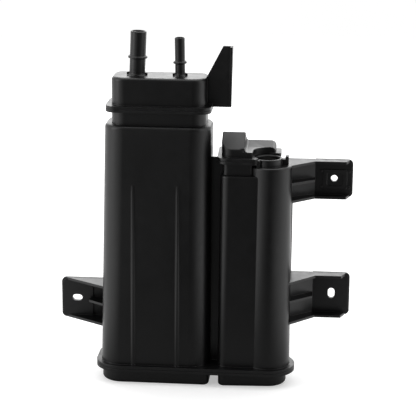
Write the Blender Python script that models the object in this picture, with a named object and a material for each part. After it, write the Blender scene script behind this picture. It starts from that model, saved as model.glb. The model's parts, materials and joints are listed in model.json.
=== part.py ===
"""Charcoal canister: two moulded chambers on one bottom cover, a round third chamber
with the vent mouth, a welded port cap and a welded L-shaped duct cover.

Metres, +Z up. X runs across the front, Y runs from the front to the mounting side,
and the origin is the middle of the underside of the bottom cover.
"""
import math

import bmesh
import bpy
from mathutils import Matrix, Vector

# Fits and walls
GAP = 0.0003
WALL = 0.0025
COVER_WALL = 0.0022
OVERLAP = 0.0012
SLIVER = 0.0001
ROOM = 0.0100

# Levels of the welded joints, from the underside of the bottom cover
TRAY_DEPTH = 0.0135
WELD_FLANGE = 0.0030
WELD_OVERHANG = 0.0050
BODY_HEIGHT = 0.2474
NECK_HEIGHT = 0.0131
CAP_HEIGHT = 0.0272

# Main chamber: front, back, left and right of its foot and of its shoulder
MAIN_LEFT = -0.0953
MAIN_RIGHT = 0.0150
FRONT = -0.0290
BACK = 0.0275
MAIN_LEFT_DRAFT = 0.0050
DRAFT = 0.0008
MAIN_FRONT_RADIUS = 0.0205
MAIN_BACK_RADIUS = 0.0160
SHOULDER_ROUND = 0.0038

# Neck and cap of the main chamber
NECK_LEFT = -0.0835
NECK_RIGHT = 0.0096
NECK_FRONT = -0.0214
NECK_BACK = 0.0199
NECK_FRONT_RADIUS = 0.0137
NECK_BACK_RADIUS = 0.0092
CAP_FLANGE_RADIUS = 0.0105
CAP_ROUND = 0.0035

# Vent chamber and the round third chamber at its front right corner
VENT_LEFT = 0.0232
VENT_RIGHT = 0.0850
VENT_FRONT = -0.0250
VENT_RADIUS = 0.0090
VENT_DROP = 0.0474
VENT_HEIGHT = BODY_HEIGHT - VENT_DROP
VENT_NECK_HEIGHT = 0.0115
VENT_NECK_LEFT = 0.0263
VENT_NECK_LEAN = 0.0016
VENT_NECK_RIGHT = 0.0525
VENT_NECK_FRONT = -0.0204
VENT_NECK_BACK = 0.0229
VENT_NECK_RADIUS = 0.0055
VENT_NECK_HOLLOW = 0.0120
VENT_FLANGE_CORNER = 0.0030
TUBE_X = 0.0728
TUBE_RADIUS = 0.0225
TUBE_DRAFT = 0.0015
TUBE_STEP = 0.0088
TUBE_HEIGHT = VENT_HEIGHT + TUBE_STEP
TUBE_ROUND = 0.0022
TUBE_INSIDE_WALL = 0.0023
PARTITION_X = 0.0560
PARTITION = 0.0020

# Mouth of the third chamber
MOUTH_X = 0.0706
MOUTH_Y = -0.0088
MOUTH_RADIUS = 0.0136
MOUTH_BORE = 0.0109
MOUTH_HEIGHT = 0.0072
MOUTH_CHAMFER = 0.0009
LUG_FROM = 0.0124
LUG_STEP = 0.0166
LUG_TO = 0.0197
LUG_LOW = 0.0060
LUG_HIGH = 0.0088
LUG_FRONT = 0.0000
LUG_BACK = 0.0072
KEY_LEFT = 0.0106
KEY_WIDTH = 0.0032
KEY_RISE = 0.0002

# Duct over the vent chamber
BOX_HEIGHT = 0.0206
BOX_FRONT_HEIGHT = 0.0079
BOX_LEFT = 0.0258
BOX_RIGHT = 0.0468
BOX_CORNER = 0.0105
DUCT_FRONT = 0.0055
DUCT_FLANGE_FRONT = 0.0010
DUCT_RIGHT = 0.0772
DUCT_HEIGHT = 0.0083
DUCT_HOLLOW = 0.0170
DUCT_END_ROUND = 0.0035
DUCT_FILLET = 0.0030
DUCT_SLOPE = math.radians(6.0)

# Web, raised ribs and the groove between the trays
WEB_Y = -0.0040
WEB_THICKNESS = 0.0024
WEB_RISE = 0.0145
WEB_HEIGHT = VENT_HEIGHT + WEB_RISE
RIB_XS = (-0.0608, -0.0168)
RIB_WIDTH = 0.0046
RIB_CREST = 0.0014
RIB_RISE = 0.0013
RIB_DROP = 0.0585
RIB_TOP = BODY_HEIGHT - RIB_DROP
RIB_TAPER = 0.0070
GROOVE_LEFT = 0.0150
GROOVE_RIGHT = 0.0242
GROOVE_DEPTH = 0.0094
TRAY_INSET = 0.0010
TRAY_ROUND = 0.0028
TRAY_CORNER = 0.0060
TRAY_TUBE_INSET = 0.0035
PLENUM_INSET = 0.0055
PLENUM_CORNER = 0.0030
SEAT_RISE = 0.0036

# Hose ports on the cap
TANK_X = -0.0594
PURGE_X = -0.0172
PORT_Y = -0.0010
TANK_RADIUS = 0.0078
TANK_BORE = 0.0058
TANK_LENGTH = 0.0430
TANK_BEAD_AT = 0.0178
TANK_LEAN = math.radians(2.1)
PURGE_RADIUS = 0.0049
PURGE_BORE = 0.0033
PURGE_LENGTH = 0.0375
PURGE_BEAD_AT = 0.0132
PURGE_LEAN = math.radians(-1.0)
BEAD_RISE = 0.0017
BEAD_LENGTH = 0.0030
TIP_ROUND = 0.0022
PAD_REACH = 0.0024
PAD_RISE = 0.0009
GUSSET = 0.0012
GUSSET_LOW = 0.0024
GUSSET_HIGH = 0.0045
DIVIDER_X = (TANK_X + PURGE_X) / 2

# Clip fin on the cap
FIN_Y = -0.0020
FIN_THICKNESS = 0.0022
FIN_RIGHT = 0.0342
FIN_DRAFT = 0.0010
FIN_TOP_WIDTH = 0.0095
FIN_RISE = 0.0300
FIN_FLANGE_DEPTH = 0.0068
FIN_FOOT_DEPTH = 0.0020

# Mounting brackets
BRACKET_BACK = 0.0285
BRACKET_PLATE = 0.0026
BRACKET_PAD = 0.0042
BRACKET_CORNER = 0.0050
LEFT_BRACKET_TIP = -0.1416
RIGHT_BRACKET_TIP = 0.1537
BRACKET_HOLE_RADIUS = 0.0034
BRACKET_ROOT = VENT_RIGHT - WALL
LEFT_ROOT = MAIN_LEFT + MAIN_BACK_RADIUS / 2
STRIP_RIGHT = 0.0942
STRIP_DEPTH = 0.0045
STRIP_FROM = 0.0480
STRIP_DROP = 0.0029
STRIP_TO = TUBE_HEIGHT - STRIP_DROP

# Heights of each bracket above the bottom weld: low edge, high edge and middle rib
UPPER_RIGHT_HEIGHTS = (TUBE_HEIGHT - 0.0394, TUBE_HEIGHT - 0.0009, TUBE_HEIGHT - 0.0209)
LOWER_RIGHT_HEIGHTS = (0.0459, 0.0902, 0.0684)
LEFT_HEIGHTS = (0.0334, 0.0757, 0.0514)

# Flange depths along each bracket from its tip inward: (x, depth forward of the back face)
UPPER_RIGHT_DEPTHS = ((0.1500, 0.0050), (0.1470, 0.0130), (0.1160, 0.0135), (0.0930, 0.0350),
                      (BRACKET_ROOT, 0.0400))
LOWER_RIGHT_DEPTHS = ((0.1490, 0.0050), (0.1450, 0.0150), (0.1190, 0.0155), (0.0945, 0.0420),
                      (BRACKET_ROOT, 0.0500))
LEFT_DEPTHS = ((-0.1366, 0.0030), (-0.0950, 0.0300), (LEFT_ROOT, 0.0320))

# Bolt holes: x, height above the bottom weld, reach of the slot to each side and up and down
UPPER_RIGHT_HOLE = (0.1351, TUBE_HEIGHT - 0.0200, 0.0, 0.0)
LOWER_RIGHT_HOLE = (0.1353, 0.0687, 0.0, 0.0020)
LEFT_HOLE = (-0.1253, 0.0548, 0.0017, 0.0)
PAD_SIDE = 0.0190
PAD_INSET = 0.0012
HOLE_STEPS = 24

# Low frame round the upper right hole: half width and half height, and the dots at its corners
FRAME_OUTER = (0.0120, 0.0100)
FRAME_INNER = (0.0080, 0.0067)
FRAME_SHIFT = 0.0008
FRAME_RISE = 0.0006
FRAME_CORNER = 0.0020
DOT_REACH = (0.0137, 0.0082)
DOT_RADIUS = 0.0011

# Inside pieces
FLEECE = 0.0040
GRID_PLATE = 0.0024
PLATE_AT = 0.0310
SPRING_WIRE = 0.0016
SLOT_WIDTH = 0.0032
SLOT_PITCH = 0.0072
SLOT_MARGIN = 0.0060
SLOT_BAR = 0.0030
MAIN_SPRING_RADIUS = 0.0125
VENT_SPRING_RADIUS = 0.0085
TUBE_SPRING_RADIUS = 0.0110

# Worked out levels
WELD_Z = TRAY_DEPTH + WELD_FLANGE
FOOT_Z = WELD_Z + GAP / 2
SHOULDER_Z = WELD_Z + BODY_HEIGHT
CAP_WELD_Z = SHOULDER_Z + NECK_HEIGHT + WELD_FLANGE
CAP_TOP_Z = CAP_WELD_Z + WELD_FLANGE + CAP_HEIGHT
VENT_TOP_Z = WELD_Z + VENT_HEIGHT
VENT_WELD_Z = VENT_TOP_Z + VENT_NECK_HEIGHT + WELD_FLANGE
TUBE_TOP_Z = WELD_Z + TUBE_HEIGHT
SEAT_Z = VENT_WELD_Z + GAP / 2
COVER_FLANGE_TOP = VENT_WELD_Z + WELD_FLANGE
TUBE_Y = FRONT + TUBE_RADIUS
CORNER_STEPS = 6
FLANGE_STEPS = 9
TUBE_STEPS = 36


# Outlines

def hull(circles, steps=CORNER_STEPS):
    """Outline of the tight band round circles (x, y, radius), listed anticlockwise."""
    normals = []
    for (x0, y0, r0), (x1, y1, r1) in zip(circles, circles[1:] + circles[:1]):
        reach = math.hypot(x1 - x0, y1 - y0)
        normals.append(math.atan2(y1 - y0, x1 - x0) - math.acos((r0 - r1) / reach))
    points = []
    for index, (x, y, radius) in enumerate(circles):
        start, end = normals[index - 1], normals[index]
        sweep = (end - start) % math.tau
        for step in range(steps + 1):
            angle = start + sweep * step / steps
            points.append((x + radius * math.cos(angle), y + radius * math.sin(angle)))
    return points


def grown(circles, by):
    return [(x, y, radius + by) for x, y, radius in circles]


def between(low, high, share):
    return [tuple(a + (b - a) * share for a, b in zip(one, other)) for one, other in zip(low, high)]


def four_corners(x0, x1, y0, y1, front_radius, back_radius):
    """Corner circles of a rounded rectangle, anticlockwise from the front left."""
    f, b = front_radius, back_radius
    return [(x0 + f, y0 + f, f), (x1 - f, y0 + f, f), (x1 - b, y1 - b, b), (x0 + b, y1 - b, b)]


def circle(x, y, radius, steps=TUBE_STEPS):
    turn = [math.tau * step / steps for step in range(steps)]
    return [(x + radius * math.cos(a), y + radius * math.sin(a)) for a in turn]


def rounded_polygon(corners, steps=5):
    """Outline through corners (x, y, radius), with an arc at each, convex or concave."""
    points = []
    count = len(corners)
    for index, (x, y, radius) in enumerate(corners):
        here = Vector((x, y))
        before = (Vector(corners[index - 1][:2]) - here).normalized()
        after = (Vector(corners[(index + 1) % count][:2]) - here).normalized()
        half = before.angle(after) / 2
        if radius < 1e-6:
            points.append((x, y))
            continue
        centre = here + (before + after).normalized() * radius / math.sin(half)
        start = here + before * radius / math.tan(half) - centre
        end = here + after * radius / math.tan(half) - centre
        turn = start.angle_signed(end)
        for step in range(steps + 1):
            arm = start.copy()
            arm.rotate(Matrix.Rotation(-turn * step / steps, 2))
            points.append(tuple(centre + arm))
    return points


# Solids

def material(name, colour, roughness, metallic=0.0):
    made = bpy.data.materials.new(name)
    made.use_nodes = True
    shader = made.node_tree.nodes["Principled BSDF"]
    shader.inputs["Base Color"].default_value = (*colour, 1.0)
    shader.inputs["Roughness"].default_value = roughness
    shader.inputs["Metallic"].default_value = metallic
    return made


def add_object(name, mesh_data, finish=None):
    mesh = bpy.data.meshes.new(name)
    mesh_data.to_mesh(mesh)
    mesh_data.free()
    made = bpy.data.objects.new(name, mesh)
    bpy.context.scene.collection.objects.link(made)
    if finish:
        mesh.materials.append(finish)
        mesh.shade_smooth()
        mesh.set_sharp_from_angle(angle=math.radians(35))
    return made


def loft(name, levels, finish=None):
    """Closed solid through outlines at rising or equal heights: [(z, points), ...]."""
    mesh = bmesh.new()
    rings = [[mesh.verts.new((x, y, z)) for x, y in points] for z, points in levels]
    for low, high in zip(rings, rings[1:]):
        for index in range(len(low)):
            after = (index + 1) % len(low)
            mesh.faces.new((low[index], low[after], high[after], high[index]))
    mesh.faces.new(reversed(rings[0]))
    mesh.faces.new(rings[-1])
    return add_object(name, mesh, finish)


def slab(name, points, z0, z1, finish=None):
    return loft(name, [(z0, points), (z1, points)], finish)


def plate_xz(name, points, y0, y1):
    """Plate standing across Y, from an anticlockwise outline as seen from the front."""
    mesh = bmesh.new()
    near = [mesh.verts.new((x, y0, z)) for x, z in points]
    far = [mesh.verts.new((x, y1, z)) for x, z in points]
    for index in range(len(points)):
        after = (index + 1) % len(points)
        mesh.faces.new((near[after], near[index], far[index], far[after]))
    mesh.faces.new(near)
    mesh.faces.new(reversed(far))
    return add_object(name, mesh)


def plate_yz(name, points, x0, x1):
    """Prism along X, from a (y, z) outline that is anticlockwise seen from +X."""
    mesh = bmesh.new()
    near = [mesh.verts.new((x0, y, z)) for y, z in points]
    far = [mesh.verts.new((x1, y, z)) for y, z in points]
    for index in range(len(points)):
        after = (index + 1) % len(points)
        mesh.faces.new((near[index], near[after], far[after], far[index]))
    mesh.faces.new(reversed(near))
    mesh.faces.new(far)
    bmesh.ops.recalc_face_normals(mesh, faces=mesh.faces)
    return add_object(name, mesh)


def box(name, x0, x1, y0, y1, z0, z1):
    return slab(name, [(x0, y0), (x1, y0), (x1, y1), (x0, y1)], z0, z1)


def turned(name, x, y, profile, steps=32):
    """Solid turned about an upright axis, from (radius, z) pairs going up."""
    return loft(name, [(z, circle(x, y, radius, steps)) for radius, z in profile])


def combine(target, tool, operation):
    """Boolean on target; the tool becomes a hidden guide."""
    change = target.modifiers.new(tool.name, "BOOLEAN")
    change.operation = operation
    change.object = tool
    tool.hide_render = True
    tool.display_type = "WIRE"


def join(target, *tools):
    for tool in tools:
        combine(target, tool, "UNION")


def cut(target, *tools):
    for tool in tools:
        combine(target, tool, "DIFFERENCE")


def coil(name, x, y, z0, z1, radius, wire, turns, finish):
    """Compression spring with closed ends: wire centre line from z0 to z1 less a wire."""
    sides, per_turn = 5, 14
    closed = 0.9
    end_pitch = wire * 1.08
    rise = (z1 - z0 - wire) - 2 * closed * end_pitch
    mid_pitch = rise / (turns - 2 * closed)
    mesh = bmesh.new()
    rings = []
    count = round(turns * per_turn)
    for step in range(count + 1):
        turn = turns * step / count
        lift = min(turn, closed) * end_pitch
        lift += max(0.0, min(turn, turns - closed) - closed) * mid_pitch
        lift += max(0.0, turn - turns + closed) * end_pitch
        angle = math.tau * turn
        out = Vector((math.cos(angle), math.sin(angle), 0.0))
        middle = Vector((x, y, z0 + wire / 2 + lift)) + out * (radius - wire / 2)
        ring = []
        for side in range(sides):
            roll = math.tau * side / sides
            offset = (out * math.cos(roll) + Vector((0, 0, math.sin(roll)))) * wire / 2
            ring.append(mesh.verts.new(middle + offset))
        rings.append(ring)
    for low, high in zip(rings, rings[1:]):
        for side in range(sides):
            after = (side + 1) % sides
            mesh.faces.new((low[side], low[after], high[after], high[side]))
    mesh.faces.new(reversed(rings[0]))
    mesh.faces.new(rings[-1])
    bmesh.ops.recalc_face_normals(mesh, faces=mesh.faces)
    return add_object(name, mesh, finish)


# Sections of the chambers

def main_section(z, by=0.0):
    """Corner circles of the drafted main chamber at height z, grown by a distance."""
    foot = four_corners(MAIN_LEFT, MAIN_RIGHT, FRONT, BACK, MAIN_FRONT_RADIUS, MAIN_BACK_RADIUS)
    top = four_corners(MAIN_LEFT + MAIN_LEFT_DRAFT, MAIN_RIGHT - DRAFT / 2, FRONT + DRAFT,
                       BACK - DRAFT, MAIN_FRONT_RADIUS, MAIN_BACK_RADIUS)
    return grown(between(foot, top, (z - WELD_Z) / BODY_HEIGHT), by)


def neck_section(by=0.0):
    return grown(four_corners(NECK_LEFT, NECK_RIGHT, NECK_FRONT, NECK_BACK,
                              NECK_FRONT_RADIUS, NECK_BACK_RADIUS), by)


def cap_flange_section():
    """Corner circles of the weld flange under the cap, squarer at the front than the neck."""
    out = WELD_OVERHANG
    return four_corners(NECK_LEFT - out, NECK_RIGHT + out, NECK_FRONT - out, NECK_BACK + out,
                        CAP_FLANGE_RADIUS, NECK_BACK_RADIUS + out)


def vent_section(z, by=0.0):
    foot = four_corners(VENT_LEFT, VENT_RIGHT, VENT_FRONT, BACK, VENT_RADIUS, VENT_RADIUS)
    top = four_corners(VENT_LEFT + DRAFT, VENT_RIGHT - DRAFT, VENT_FRONT + DRAFT, BACK - DRAFT,
                       VENT_RADIUS, VENT_RADIUS)
    return grown(between(foot, top, (z - WELD_Z) / VENT_HEIGHT), by)


def tube_circle(z, by=0.0, steps=TUBE_STEPS):
    radius = TUBE_RADIUS - TUBE_DRAFT * (z - WELD_Z) / TUBE_HEIGHT
    return circle(TUBE_X, TUBE_Y, radius + by, steps)


def flange_section():
    """Corner circles of the common bottom flange, round both chambers and the tube."""
    out = WELD_OVERHANG
    return [(MAIN_LEFT + MAIN_FRONT_RADIUS, FRONT + MAIN_FRONT_RADIUS, MAIN_FRONT_RADIUS + out),
            (TUBE_X, TUBE_Y, TUBE_RADIUS + out),
            (VENT_RIGHT - VENT_RADIUS, BACK - VENT_RADIUS, VENT_RADIUS + out),
            (MAIN_LEFT + MAIN_BACK_RADIUS, BACK - MAIN_BACK_RADIUS, MAIN_BACK_RADIUS + out)]


def l_section(by=0.0, corner=VENT_NECK_RADIUS, tight=0.0020):
    """L-shaped outline of the vent neck: a full-depth left part and an arm along the back."""
    x0 = VENT_NECK_LEFT - by
    x1 = VENT_NECK_RIGHT + by
    x2 = DUCT_RIGHT + by
    y0 = VENT_NECK_FRONT - by
    y1 = VENT_NECK_BACK + by
    inner = DUCT_FRONT - min(by, DUCT_FLANGE_FRONT)
    return rounded_polygon([(x0, y0, VENT_NECK_RADIUS + by), (x1, y0, tight),
                            (x1, inner, VENT_NECK_HOLLOW - by), (x2, inner, tight),
                            (x2, y1, tight), (x0 - VENT_NECK_LEAN, y1, corner)])


def l_flange():
    return l_section(WELD_OVERHANG, VENT_FLANGE_CORNER, VENT_FLANGE_CORNER)


def shoulder_levels(z_top, section, round_by, steps=3):
    """Levels of a rounded top edge, drawn in from a section function."""
    levels = []
    for step in range(steps + 1):
        angle = math.pi / 2 * step / steps
        z = z_top - round_by + round_by * math.sin(angle)
        levels.append((z, section(z_top, -round_by * (1 - math.cos(angle)))))
    return levels


# Housing: one moulding

def bracket(name, tip, plan, heights, pad_end):
    """Back plate with top and bottom flanges and a middle rib; plan gives the flange depths."""
    low, high, rib_at = (WELD_Z + height for height in heights)
    root = plan[-1][0]
    out = 1 if tip > root else -1
    back = BRACKET_BACK
    sunk = back - BRACKET_PLATE / 2
    corner = BRACKET_CORNER
    thick = BRACKET_PLATE
    plate = rounded_polygon([(tip, low, corner), (tip, high, corner),
                             (root, high, 0.0), (root, low, 0.0)][::out])
    pieces = [plate_xz(name + "_plate", plate, back - thick, back)]
    edge = tip - out * PAD_INSET
    low_pad, high_pad = low + PAD_INSET, high - PAD_INSET
    pad = rounded_polygon([(edge, low_pad, corner), (edge, high_pad, corner), (pad_end, high_pad, 0.0),
                           (pad_end, low_pad, 0.0)][::out])
    pieces.append(plate_xz(name + "_pad", pad, back - BRACKET_PAD, sunk))
    ring = [(plan[0][0], sunk)] + [(x, back - depth) for x, depth in plan] + [(root, sunk)]
    pieces.append(slab(name + "_top", ring[::-out], high - thick, high - SLIVER))
    pieces.append(slab(name + "_foot", ring[::-out], low + SLIVER, low + thick))
    rib = [(pad_end, sunk), (pad_end, back - depth_at(plan, pad_end)), (root, back - plan[-1][1]),
           (root, sunk)]
    pieces.append(slab(name + "_rib", rib[::-out], rib_at - thick / 2, rib_at + thick / 2))
    return pieces


def depth_at(plan, x):
    """Flange depth of a bracket at x, straight between the listed points."""
    for (x0, d0), (x1, d1) in zip(plan, plan[1:]):
        if min(x0, x1) <= x <= max(x0, x1):
            return d0 + (d1 - d0) * (x - x0) / (x1 - x0)
    return plan[-1][1]


def bolt_hole(name, x, height, reach_x, reach_z):
    """Cutter for a round hole, or for a slot that reaches a distance to each side."""
    points = []
    for step in range(HOLE_STEPS):
        angle = math.tau * (step + 0.5) / HOLE_STEPS
        across, up = math.cos(angle), math.sin(angle)
        points.append((x + BRACKET_HOLE_RADIUS * across + math.copysign(reach_x, across),
                       WELD_Z + height + BRACKET_HOLE_RADIUS * up + math.copysign(reach_z, up)))
    return plate_xz(name, points, BRACKET_BACK - 2 * BRACKET_PAD, BRACKET_BACK + OVERLAP)


def hole_frame(name, x, height, *_):
    """Low raised frame round a bolt hole, with a round dot outside each corner."""
    middle_x, middle_z = x + FRAME_SHIFT, WELD_Z + height - FRAME_SHIFT
    front = BRACKET_BACK - BRACKET_PAD
    rings = []
    for across, up in (FRAME_OUTER, FRAME_INNER):
        corners = [(-across, -up), (across, -up), (across, up), (-across, up)]
        rings.append(rounded_polygon([(middle_x + a, middle_z + b, FRAME_CORNER) for a, b in corners], 2))
    frame = plate_xz(name, rings[0], front - FRAME_RISE, front + FRAME_RISE)
    cut(frame, plate_xz(name + "_inside", rings[1], front - 2 * FRAME_RISE, front + 2 * FRAME_RISE))
    pieces = [frame]
    for side, rise in ((-1, -1), (1, -1), (1, 1), (-1, 1)):
        spot = circle(middle_x + side * DOT_REACH[0], middle_z + rise * DOT_REACH[1], DOT_RADIUS, 8)
        pieces.append(plate_xz("%s_dot_%d" % (name, len(pieces)), spot, front - FRAME_RISE / 2,
                               front + FRAME_RISE / 2))
    return pieces


def front_rib(name, x):
    """Low raised rib that follows the drafted front and fades out at its top."""
    top = WELD_Z + RIB_TOP
    foot, crest = RIB_WIDTH / 2, RIB_CREST / 2
    levels = []
    for z, rise in ((FOOT_Z + OVERLAP, RIB_RISE), (top - RIB_TAPER, RIB_RISE), (top, SLIVER)):
        face = FRONT + DRAFT * (z - WELD_Z) / BODY_HEIGHT
        levels.append((z, [(x - foot, face), (x - crest, face - rise), (x + crest, face - rise),
                           (x + foot, face), (x + foot, face + OVERLAP), (x - foot, face + OVERLAP)]))
    return loft(name, levels)


def main_shell():
    start = FOOT_Z + WELD_FLANGE / 2
    neck_top = CAP_WELD_Z - WELD_FLANGE
    body = [(start, main_section(start))]
    body += shoulder_levels(SHOULDER_Z, main_section, SHOULDER_ROUND)
    body += [(SHOULDER_Z, neck_section()), (neck_top, neck_section()), (neck_top, cap_flange_section()),
             (CAP_WELD_Z - GAP / 2, cap_flange_section())]
    return loft("main_shell", [(z, hull(circles)) for z, circles in body])


def vent_shell():
    start = FOOT_Z + WELD_FLANGE / 2
    levels = [(start, vent_section(start))] + shoulder_levels(VENT_TOP_Z, vent_section, TUBE_ROUND, 2)
    return loft("vent_shell", [(z, hull(circles)) for z, circles in levels])


def vent_neck():
    flange_low = VENT_WELD_Z - WELD_FLANGE
    return loft("vent_neck", [(VENT_TOP_Z - WALL, l_section()), (flange_low, l_section()),
                              (flange_low, l_flange()), (VENT_WELD_Z - GAP / 2, l_flange())])


def chamber_cores():
    """Cutters for the main chamber, the vent chamber and the vent neck."""
    low = FOOT_Z - OVERLAP
    ceiling = SHOULDER_Z - WALL
    main_core = [(low, main_section(low, -WALL)), (ceiling, main_section(ceiling, -WALL)),
                 (ceiling, neck_section(-WALL)), (CAP_WELD_Z + OVERLAP, neck_section(-WALL))]
    vent_ceiling = VENT_TOP_Z - WALL
    vent_core = [(low, vent_section(low, -WALL)), (vent_ceiling, vent_section(vent_ceiling, -WALL))]
    return [loft("main_core", [(z, hull(circles)) for z, circles in main_core]),
            loft("vent_core", [(z, hull(circles)) for z, circles in vent_core]),
            slab("vent_neck_core", l_section(-WALL), vent_ceiling - OVERLAP, VENT_WELD_Z + OVERLAP)]


def tube_shell():
    levels = [(FOOT_Z, tube_circle(FOOT_Z))]
    for step in range(4):
        angle = math.pi / 2 * step / 3
        z = TUBE_TOP_Z - TUBE_ROUND * (1 - math.sin(angle))
        levels.append((z, tube_circle(TUBE_TOP_Z, -TUBE_ROUND * (1 - math.cos(angle)))))
    return loft("tube_shell", levels)


def mouth_pieces():
    """Collar of the vent mouth with the lug and the key that place its hose."""
    top = TUBE_TOP_Z + MOUTH_HEIGHT
    low = TUBE_TOP_Z - OVERLAP
    rim = MOUTH_CHAMFER / 2
    collar = turned("mouth_collar", MOUTH_X, MOUTH_Y,
                    [(MOUTH_RADIUS, low), (MOUTH_RADIUS, top - rim), (MOUTH_RADIUS - rim, top)])
    from_x, step_x, to_x = MOUTH_X + LUG_FROM, MOUTH_X + LUG_STEP, MOUTH_X + LUG_TO
    low_z, high_z = TUBE_TOP_Z + LUG_LOW, TUBE_TOP_Z + LUG_HIGH
    outline = [(from_x, low), (to_x, low), (to_x, high_z), (step_x, high_z), (step_x, low_z),
               (from_x, low_z)]
    lug = plate_xz("mouth_lug", outline, MOUTH_Y - LUG_FRONT, MOUTH_Y + LUG_BACK)
    key_x = MOUTH_X - KEY_LEFT
    key = box("mouth_key", key_x, key_x + KEY_WIDTH, MOUTH_Y - MOUTH_RADIUS - KEY_RISE,
              MOUTH_Y - MOUTH_RADIUS / 2, low, top - rim)
    return [collar, lug, key]


def build_housing(finish):
    housing = slab("housing", hull(flange_section(), FLANGE_STEPS), FOOT_Z, FOOT_Z + WELD_FLANGE, finish)
    start = FOOT_Z + WELD_FLANGE / 2
    join(housing, main_shell(), vent_shell(), vent_neck())
    join(housing, box("web", MAIN_RIGHT - WALL, VENT_LEFT + WALL, WEB_Y - WEB_THICKNESS / 2,
                      WEB_Y + WEB_THICKNESS / 2, start, WELD_Z + WEB_HEIGHT))
    for index, x in enumerate(RIB_XS):
        join(housing, front_rib("front_rib_%d" % index, x))
    join(housing, box("bracket_strip", BRACKET_ROOT, STRIP_RIGHT, BACK - STRIP_DEPTH,
                      BRACKET_BACK - SLIVER, WELD_Z + STRIP_FROM, WELD_Z + STRIP_TO))
    right, left = RIGHT_BRACKET_TIP, LEFT_BRACKET_TIP
    join(housing, *bracket("upper_right", right, UPPER_RIGHT_DEPTHS, UPPER_RIGHT_HEIGHTS,
                           UPPER_RIGHT_HOLE[0] - PAD_SIDE))
    join(housing, *hole_frame("hole_frame", *UPPER_RIGHT_HOLE))
    join(housing, *bracket("lower_right", right, LOWER_RIGHT_DEPTHS, LOWER_RIGHT_HEIGHTS,
                           LOWER_RIGHT_HOLE[0] - PAD_SIDE))
    join(housing, *bracket("left", left, LEFT_DEPTHS, LEFT_HEIGHTS, LEFT_HOLE[0] + PAD_SIDE))
    cut(housing, *chamber_cores())
    join(housing, tube_shell())
    join(housing, box("partition", PARTITION_X, PARTITION_X + PARTITION, TUBE_Y + TUBE_RADIUS / 2,
                      BACK - DRAFT - OVERLAP, FOOT_Z, VENT_TOP_Z - OVERLAP))
    join(housing, *mouth_pieces())
    low, ceiling = FOOT_Z - OVERLAP, TUBE_TOP_Z - WALL
    cut(housing, loft("tube_core", [(low, tube_circle(low, -TUBE_INSIDE_WALL)),
                                    (ceiling, tube_circle(TUBE_TOP_Z, -TUBE_INSIDE_WALL))]))
    top = TUBE_TOP_Z + MOUTH_HEIGHT
    cut(housing, turned("mouth_bore", MOUTH_X, MOUTH_Y,
                        [(MOUTH_BORE, ceiling - OVERLAP), (MOUTH_BORE, top - MOUTH_CHAMFER),
                         (MOUTH_BORE + 2 * MOUTH_CHAMFER, top + MOUTH_CHAMFER)]))
    cut(housing, bolt_hole("upper_right_hole", *UPPER_RIGHT_HOLE),
        bolt_hole("lower_right_hole", *LOWER_RIGHT_HOLE), bolt_hole("left_hole", *LEFT_HOLE))
    return housing


# Top cap with both hose ports and the clip fin

def port(name, x, radius, length, bead_at, lean):
    """Hose stub on a low pad, with its bead, four gussets and a rounded tip."""
    bead, half = bead_at, BEAD_LENGTH / 2
    pad = radius + PAD_REACH
    profile = [(pad, -WALL / 2), (pad, PAD_RISE / 2), (pad - PAD_RISE / 2, PAD_RISE),
               (radius + 2 * SLIVER, PAD_RISE), (radius, bead - half),
               (radius + BEAD_RISE, bead - half / 2), (radius + BEAD_RISE, bead), (radius, bead + half),
               (radius, length - TIP_ROUND), (radius - TIP_ROUND / 4, length - TIP_ROUND / 4),
               (radius - TIP_ROUND * 0.6, length)]
    pieces = [turned(name, 0.0, 0.0, profile)]
    inner = radius - 2 * BEAD_RISE / 3
    for quarter in range(4):
        edge = pad - PAD_RISE / 2
        outline = [(inner, PAD_RISE / 2), (edge, PAD_RISE / 2), (edge, GUSSET_LOW),
                   (radius + GUSSET / 2, GUSSET_HIGH), (inner, GUSSET_HIGH)]
        fin = plate_xz("%s_gusset_%d" % (name, quarter), outline, -GUSSET / 2, GUSSET / 2)
        fin.rotation_euler[2] = math.tau * quarter / 4
        pieces.append(fin)
    place = Matrix.Translation((x, PORT_Y, CAP_TOP_Z)) @ Matrix.Rotation(lean, 4, "Y")
    for piece in pieces:
        piece.matrix_world = place @ Matrix.Rotation(piece.rotation_euler[2], 4, "Z")
    return pieces


def port_bore(name, x, bore, length, lean):
    made = turned(name, 0.0, 0.0, [(bore, -WALL - OVERLAP), (bore, length - OVERLAP / 2),
                                   (bore + OVERLAP, length + OVERLAP / 2)])
    made.matrix_world = Matrix.Translation((x, PORT_Y, CAP_TOP_Z)) @ Matrix.Rotation(lean, 4, "Y")
    return made


def fin_pieces(seat):
    """Upright fin beside the cap and the flange along its outer edge."""
    foot, top = seat + SLIVER, CAP_TOP_Z + FIN_RISE
    slant_foot = CAP_TOP_Z - CAP_ROUND / 3
    thick = FIN_THICKNESS
    outline = [(NECK_RIGHT - WALL / 2, foot, 0.0), (FIN_RIGHT - FIN_DRAFT, foot, thick / 2),
               (FIN_RIGHT, top, 0.0), (FIN_RIGHT - FIN_TOP_WIDTH, top, thick / 4),
               (NECK_RIGHT - thick / 2, slant_foot, 0.0),
               (NECK_RIGHT - WALL / 2, CAP_TOP_Z - CAP_ROUND, 0.0)]
    plate = plate_xz("fin", rounded_polygon(outline, 3), FIN_Y, FIN_Y + thick)
    sunk = FIN_Y + thick / 2
    side = [(FIN_Y - FIN_FOOT_DEPTH, foot + thick), (sunk, foot + thick), (sunk, top - SLIVER),
            (FIN_Y - FIN_FLANGE_DEPTH, top - SLIVER)]
    flange = plate_yz("fin_flange", side, -thick, 0.0)
    lean = math.atan2(FIN_DRAFT, top - foot)
    flange.matrix_world = (Matrix.Translation((FIN_RIGHT - SLIVER, 0.0, top)) @ Matrix.Rotation(lean, 4, "Y")
                           @ Matrix.Translation((0.0, 0.0, -top)))
    return [plate, flange]


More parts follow.
